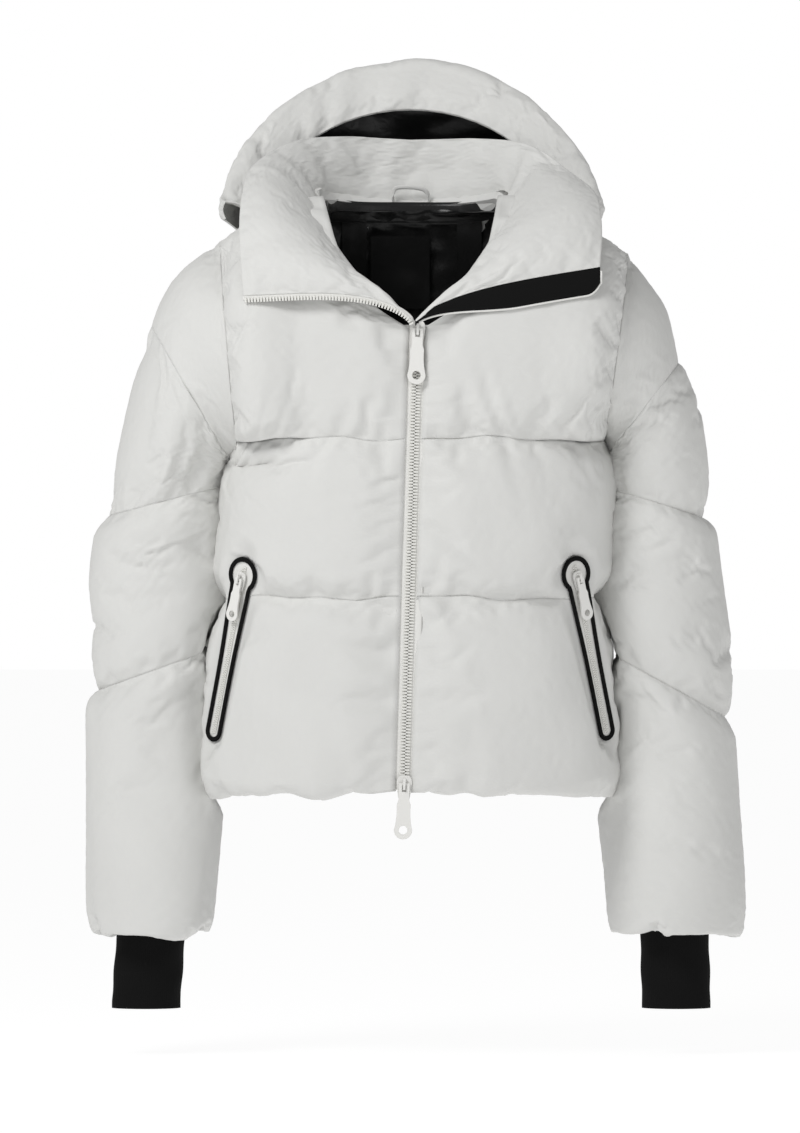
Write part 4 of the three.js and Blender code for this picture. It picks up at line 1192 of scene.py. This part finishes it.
def boxes_mesh(name, centres, axes, sizes):
    """Many small boxes in one mesh; axes are each box's three directions."""
    corners = np.array([(x, y, z) for x in (-1, 1) for y in (-1, 1) for z in (-1, 1)]) / 2
    quads = [(0, 1, 3, 2), (4, 6, 7, 5), (0, 4, 5, 1), (2, 3, 7, 6), (0, 2, 6, 4), (1, 5, 7, 3)]
    vertices, faces = [], []
    for centre, frame_axes, size in zip(centres, axes, sizes):
        start = len(vertices)
        vertices.extend(centre + (corners * size) @ frame_axes)
        faces.extend([[start + k for k in quad] for quad in quads])
    return new_mesh(name, vertices, faces, 0)


def teeth_along(name, path, up, pitch, size, shift=0.0, offset=0.0):
    """Zip teeth at an even pitch along a path; size is (across, height, along)."""
    lengths = np.concatenate([[0], np.cumsum(np.linalg.norm(np.diff(path, axis=0), axis=1))])
    stops = np.arange(pitch * (0.5 + shift), lengths[-1], pitch)
    centres = np.stack([np.interp(stops, lengths, path[:, i]) for i in range(3)], 1)
    tangent, across, above = (np.stack([np.interp(stops, lengths, part[:, i]) for i in range(3)], 1)
                              for part in frames_along(path, up))
    axes = np.stack([across, above, tangent], 1)
    return boxes_mesh(name, centres + across * offset, axes, [np.array(size)] * len(stops))


def trim(name, mesh, material, slot, body, *nodes):
    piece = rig.slot(show(name, mesh, material), slot)
    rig.ride(piece, body)
    if nodes:
        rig.replaces(piece, *nodes)
    return piece


# ---------- the front zip ----------
ZIP_END_GAP = 2.0
TOWARDS_VIEW = np.array([0.0, -1.0, 0.0])


def zip_path():
    """The middle of the front zip, from just below its top to just above its foot."""
    direction = (ZIP_FOOT - ZIP_TOP) / np.linalg.norm(ZIP_FOOT - ZIP_TOP)
    return np.linspace(ZIP_TOP + direction * ZIP_END_GAP, ZIP_FOOT - direction * ZIP_END_GAP, 60)


for side, sign in SIDES.items():
    teeth = teeth_along(f"zip_teeth_{side}", zip_path(), TOWARDS_VIEW, 2.9, (4.6, 2.4, 1.75),
                        shift=0.25 * sign, offset=-sign * 2.1)
    trim(f"zip_teeth_{side}", teeth, TEETH, "zip", "jacket_body", f"front_zip_{side}")
    edge = zip_path() + [sign * 6.2, 1.1, 0]
    tape = sweep_mesh(f"zip_tape_{side}", edge, round_section(12.2, 1.7), TOWARDS_VIEW)
    trim(f"zip_tape_{side}", tape, TAPE, "zip", "jacket_body", f"front_zip_{side}")


# ---------- the pockets ----------
def add_pocket(side):
    pocket = POCKET_FRAMES[side]
    outline = pocket.outline(-PIPING / 2)
    path = pocket.world(np.stack([outline[:, 0], np.full(len(outline), -0.9), outline[:, 1]], 1))
    outward = -pocket.axes[1]
    band = sweep_mesh(f"piping_{side}", path, round_section(PIPING, 2.6, 10), outward, closed=True)
    trim(f"piping_{side}", band, BINDING, "binding", "jacket_body", f"pocket_piping_{side}")
    low = -pocket.length + POCKET_FOOT
    spine = pocket.world([(0, 0, z) for z in np.linspace(8, low - 2, 40)])
    for tooth_side in (-1, 1):
        teeth = teeth_along(f"pocket_teeth_{side}_{tooth_side}", spine, outward, 2.2, (2.9, 1.5, 1.35),
                            shift=0.25 * tooth_side, offset=tooth_side * 1.35)
        trim(f"pocket_teeth_{side}_{tooth_side}", teeth, TEETH, "zip", "jacket_body", f"pocket_zip_{side}")
    inner = pocket.outline(-PIPING + 1)
    count = len(inner)
    flat = [np.stack([inner[:, 0], np.full(count, y), inner[:, 1]], 1) for y in (0.1, 1.3)]
    faces = [list(range(count)), list(range(count, 2 * count))[::-1]]
    faces += [[i, i + count, (i + 1) % count + count, (i + 1) % count] for i in range(count)]
    tape = new_mesh(f"pocket_tape_{side}", pocket.world(np.concatenate(flat)), faces, 0)
    trim(f"pocket_tape_{side}", tape, TAPE, "zip", "jacket_body", f"pocket_zip_{side}")


for side in SIDES:
    add_pocket(side)


# ---------- the collar's edges ----------
def collar_edge(side, steps):
    return collar_surface(np.full(steps, 1.0 if side == "left" else 0.0), np.linspace(0, 1, steps))


def add_collar_teeth():
    edge = collar_edge("right", 90)
    section = round_section(1.4, 5.6)
    tape = sweep_mesh("collar_tape", edge + [0, 1.2, -1.6], section, np.array([0.15, 0.1, 1.0]))
    trim("collar_tape", tape, TAPE, "zip", "jacket_body")
    teeth = teeth_along("collar_teeth", edge + [0, 0.2, -4.4], TOWARDS_VIEW, 2.9, (4.2, 2.4, 1.7))
    trim("collar_teeth", teeth, TEETH, "zip", "jacket_body", "collar_zip_teeth_right")


def facing_point(t, w):
    """The wind facing below the left lapel's edge: t along the edge, w down across the band."""
    edge = collar_edge("left", 81)
    at = np.stack([np.interp(t, np.linspace(0, 1, 81), edge[:, i]) for i in range(3)], -1)
    corner = np.sqrt(1 - clamp01((t - 0.93) / 0.07) ** 2 * 0.6)
    width = mix(5, 24, smooth(t * 1.7) ** 0.7) * corner
    at[..., 2] -= w * width
    at[..., 1] += 0.6 - 2.5 * np.sin(math.pi * w) + 4 * w
    return at


def add_facing():
    t, w = np.linspace(0.0, 1, 61)[None, :], np.linspace(0, 1, 9)[:, None]
    face = facing_point(t + 0 * w, w + 0 * t)
    mesh = closed_mesh("facing", face, face[::4, ::4] + [0, 2.6, 0])
    trim("facing", mesh, BINDING, "binding", "jacket_body", "collar_facing_left")
    t = np.linspace(0.02, 1, 70)
    lower = facing_point(t, np.ones(70)) + [0, 0.3, -0.8]
    end = facing_point(np.ones(14), np.linspace(1, 0.25, 14)) + [1.0, 0.3, 0]
    cord = sweep_mesh("facing_piping", np.concatenate([lower, end]), round_section(1.9, 1.9), TOWARDS_VIEW)
    trim("facing_piping", cord, TAPE, "zip", "jacket_body", "collar_piping_left")


add_collar_teeth()
add_facing()


# ---------- wrist gaiters ----------
def gaiter_outside(side):
    def surface(u, v):
        turn = u * 2 * math.pi
        z = mix(-652, WRIST_Z, clamp01(v / 0.94)) + 0 * turn
        fold = clamp01((v - 0.94) / 0.06)
        ripple = 0.7 * np.sin(turn * 3 + z / 17) * np.sin(z / 9 + turn)
        points = gaiter_point(side, turn, z, inset=3.5 * fold - ripple)
        points[..., 2] += 1.5 * fold + 0 * turn
        return points
    return surface


for side in SIDES:
    outer = grid_of(gaiter_outside(side), 48, 48)
    inner = outer[::4, ::4].copy()
    axis = inner.mean(1, keepdims=True)
    inner[..., :2] = axis[..., :2] + (inner[..., :2] - axis[..., :2]) * 0.86
    gaiter = show(f"gaiter_{side}", closed_mesh(f"gaiter_{side}", outer, inner, wrap=True), KNIT)
    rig.padded(gaiter, 0.2)
    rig.slot(gaiter, "gaiter")
    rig.replaces(gaiter, f"wrist_gaiter_{side}")
    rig.ride(gaiter, f"forearm_{side}")


# ---------- linings ----------
LINING_INSET, NECK_LINING_INSET = 22, 19


def creased(points, seed, depth, stretch=(9, 30)):
    """Thin nylon never lies flat: crossing creases, longer across than up."""
    normals = grid_normals(points, body_middle(points))
    folds = 1 - 2 * np.abs(soft_noise(points.shape[:2], seed, stretch))
    fine = soft_noise(points.shape[:2], seed + 1, (stretch[0] * 2, stretch[1]))
    return points + normals * ((folds + 0.5 * fine) * depth)[..., None]


def add_lining(name, surface, body, nodes, held="stretched", depth=2.2, cell=6, slot="lining",
               material=LINING, stretch=(9, 30)):
    across, along = cell_counts(surface, cell)
    flat = grid_of(surface, across, along)
    seed = SEED + sum(ord(letter) for letter in name)
    points = creased(flat, seed, depth, stretch).reshape(-1, 3)
    mesh = new_mesh(name, points, grid_faces(along + 1, across + 1))
    width = np.linalg.norm(np.diff(flat, axis=1), axis=2).sum(1).max() * MM
    length = np.linalg.norm(np.diff(flat, axis=0), axis=2).sum(0).max() * MM
    area = sum(polygon.area for polygon in mesh.polygons)
    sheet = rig.slot(show(name, mesh, material), slot)
    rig.sheet(sheet, flat=(width * 1.06, length * 1.06), held=held, rests_on=[], area=area)
    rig.replaces(sheet, *nodes)
    if body.startswith("upper_sleeve"):
        blend_at_shoulder(sheet, body.split("_")[-1])
    else:
        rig.ride(sheet, body)
    return sheet


def inset_body(side, inset, low, high, facing=-1):
    def surface(u, v):
        z = mix(low, high, v) + 0 * u
        x = mix(3, half_width(z, side), spread(u)) * SIDES[side]
        return body_point(x, z, side, facing, inset)
    return surface


def inset_yoke(side, inset):
    return lambda u, v: body_point(*yoke_place(side, u, v), side, -1, inset)


def inset_back(low, high, inset):
    def surface(u, v):
        across = u * 2 - 1
        size = np.abs(across)

        def place(side):
            if high is None:
                z, share = mix(low, back_top(size, side), np.sin(v * math.pi / 2)), size
            else:
                z, share = mix(low, high, v) + 0 * size, spread(size)
            return body_point(share * half_width(z, side) * np.sign(across), z, side, 1, inset)

        return both_sides(across, place)
    return surface


def inset_sleeve(side):
    def surface(u, v):
        return sleeve_point(side, mix(0.15, 2.95, v), u * 2 * math.pi, 21)
    return surface


def hood_inside(u, v):
    """From high inside the hood down its back and up again to the neck seam."""
    turn = (u * 2 - 1) * math.radians(72) + 0 * v
    wall = hood_wall(turn, mix(0.06, 0.9, clamp01(v / 0.62)), 17)
    seam = points_of(104 * np.sin(turn), BODY_Y + 96 * np.cos(turn), -2)
    low = hood_wall(turn, 0.9 + 0 * v, 17)
    rise = clamp01((v - 0.62) / 0.38)
    return np.where((v < 0.62)[..., None], wall, mix(low, seam, smooth(rise)[..., None]))


for side in SIDES:
    front = inset_body(side, LINING_INSET, HEM_Z + 8, -249)
    add_lining(f"lining_front_{side}", front, "jacket_body", [f"front_lining_{side}"])
    chest = inset_yoke(side, NECK_LINING_INSET)
    add_lining(f"lining_chest_{side}", chest, "jacket_body", [f"chest_lining_{side}"])
    add_lining(f"lining_sleeve_{side}", inset_sleeve(side), f"upper_sleeve_{side}", [f"sleeve_lining_{side}"],
               depth=1.0)
    bag = inset_body(side, 18, -538, -345)
    add_lining(f"bag_{side}", lambda u, v, bag=bag: bag(mix(0.3, 0.6, u), v), "jacket_body",
               [f"pocket_bag_{side}"], depth=0.8)
add_lining("lining_back", inset_back(HEM_Z + 8, YOKE_SEAM_Z, LINING_INSET), "jacket_body", ["back_lining"])
add_lining("lining_neck", inset_back(YOKE_SEAM_Z, None, NECK_LINING_INSET), "jacket_body", ["neck_lining"],
           stretch=(7, 16))
add_lining("lining_hood", hood_inside, "hood_back", ["hood_lining"], held="hung", stretch=(22, 14))


# ---------- the neck's binding, label and hanger loop ----------
def neck_path():
    """Just inside the collar's seam and below it, round the back of the neck."""
    steps = 60
    seam = spline(COLLAR_CURVES["seam"], np.linspace(0.27, 0.73, steps))
    inward = np.stack([-seam[:, 0], BODY_Y - seam[:, 1], np.zeros(steps)], 1)
    inward /= np.linalg.norm(inward, axis=1, keepdims=True)
    return seam + inward * 6 - [0, 0, 10]


UPWARDS = np.array([0.0, 0.0, 1.0])
binding = sweep_mesh("neck_binding", neck_path(), round_section(2.0, 22, 10), UPWARDS)
trim("neck_binding", binding, LINING, "lining", "jacket_body")


def label_point(u, v):
    x, z = mix(-38, 18, u) + 0 * v, mix(-98, -24, v) + 0 * u
    return both_sides(x, lambda side: body_point(x, z, side, 1, 24))


def tape_point(middle):
    def surface(u, v):
        x, z = middle + (u - 0.5) * 24 + 0 * v, mix(-112, -6, v) + 0 * u
        side = "right" if middle < 0 else "left"
        return body_point(x, z, side, 1, 22.5)
    return surface


add_lining("neck_patch", label_point, "jacket_body", ["neck_label"], depth=0.4, cell=3, slot="label",
           material=LABEL_CLOTH, stretch=(3, 3))
for name, middle in (("neck_tape_right", -54), ("neck_tape_left", 56)):
    add_lining(name, tape_point(middle), "jacket_body", [], depth=0.4, cell=3, slot="label",
               material=LABEL_CLOTH, stretch=(3, 3))

HANGER = [(-16, 5.6, 0), (-16.6, 2.5, 9), (-14, 0.4, 14.5), (-6, -0.4, 15.6), (5, -0.2, 15), (13, 0.6, 13),
          (16.5, 2.6, 8), (16.6, 5.6, 0)]
loop = spline(HANGER, np.linspace(0, 1, 60))
hanger = sweep_mesh("hanger", loop, round_section(1.5, 4.2), np.array([0, -0.2, 1.0]))
trim("hanger", hanger, SHELL, "shell", "jacket_body", "hanger_loop")


# ---------- plain CAD nodes ----------
NODE_MATERIALS = {"slider": ENAMEL, "pull": ENAMEL, "piping": BINDING, "facing": BINDING, "teeth": TEETH,
                  "pocket_zip": TEETH, "front_zip": TAPE, "label": LABEL_CLOTH, "hanger": SHELL,
                  "gaiter": KNIT, "lining": LINING, "bag": LINING}


def paint_cad_nodes():
    for node in bpy.data.objects:
        if node.type != "MESH" or "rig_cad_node" not in node:
            continue
        for word, material in NODE_MATERIALS.items():
            if word in node.name:
                node.data.materials.clear()
                node.data.materials.append(material)
                break
        else:
            node.data.materials.clear()
            node.data.materials.append(SHELL)


paint_cad_nodes()


# ---------- floor, light and camera ----------
def floor_material():
    """Near white all over, so that it runs into the backdrop; only the faintest shadow shows."""
    material = bpy.data.materials.new("floor")
    material.use_nodes = True
    shader = material.node_tree.nodes["Principled BSDF"]
    set_inputs(shader, Base_Color=(0.12, 0.12, 0.12, 1), Roughness=1.0, Specular_IOR_Level=0.0,
               Emission_Color=(1, 1, 1, 1), Emission_Strength=0.93)
    return material


def add_stage():
    size, height = 30, -0.80
    corners = [(-size, -size, height), (size, -size, height), (size, size, height), (-size, size, height)]
    mesh = bpy.data.meshes.new("floor")
    mesh.from_pydata(corners, [], [(0, 1, 2, 3)])
    mesh.materials.append(floor_material())
    floor = bpy.data.objects.new("floor", mesh)
    bpy.context.scene.collection.objects.link(floor)
    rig.stage(floor)


def add_area_light(name, location, target, size, power):
    light = bpy.data.lights.new(name, "AREA")
    light.shape, light.size, light.energy = "DISK", size, power
    lamp = bpy.data.objects.new(name, light)
    lamp.location = location
    lamp.rotation_euler = (Vector(target) - Vector(location)).to_track_quat("-Z", "Y").to_euler()
    bpy.context.scene.collection.objects.link(lamp)


def add_world(strength, backdrop):
    world = bpy.data.worlds.new("studio")
    bpy.context.scene.world = world
    world.use_nodes = True
    nodes, links = world.node_tree.nodes, world.node_tree.links
    light = nodes["Background"]
    set_inputs(light, Color=(1, 1, 1, 1), Strength=strength)
    seen = set_inputs(nodes.new("ShaderNodeBackground"), Color=(1, 1, 1, 1), Strength=backdrop)
    choose = nodes.new("ShaderNodeMixShader")
    links.new(nodes.new("ShaderNodeLightPath").outputs["Is Camera Ray"], choose.inputs["Fac"])
    links.new(light.outputs["Background"], choose.inputs[1])
    links.new(seen.outputs["Background"], choose.inputs[2])
    links.new(choose.outputs["Shader"], nodes["World Output"].inputs["Surface"])


def add_camera():
    camera = bpy.data.cameras.new("camera")
    camera.lens, camera.sensor_width, camera.sensor_fit = 273, 36, "VERTICAL"
    camera.sensor_height = 36
    eye = bpy.data.objects.new("camera", camera)
    eye.location = (-0.010, -8.12, -0.343)
    eye.rotation_euler = (math.pi / 2, 0, 0)
    bpy.context.scene.collection.objects.link(eye)
    bpy.context.scene.camera = eye


add_stage()
add_world(0.34, 1.0)
add_area_light("key", (-1.5, -2.0, 1.8), (0, 0, -0.3), 1.3, 52)
add_area_light("fill", (1.8, -2.4, 0.3), (0, 0, -0.35), 2.0, 6)
add_camera()
bpy.context.scene.view_settings.view_transform = "Standard"

with open("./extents.json", "w") as out:
    json.dump({"cad": CAD_BOX, "scene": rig.bounds()}, out, default=lambda value: list(value))
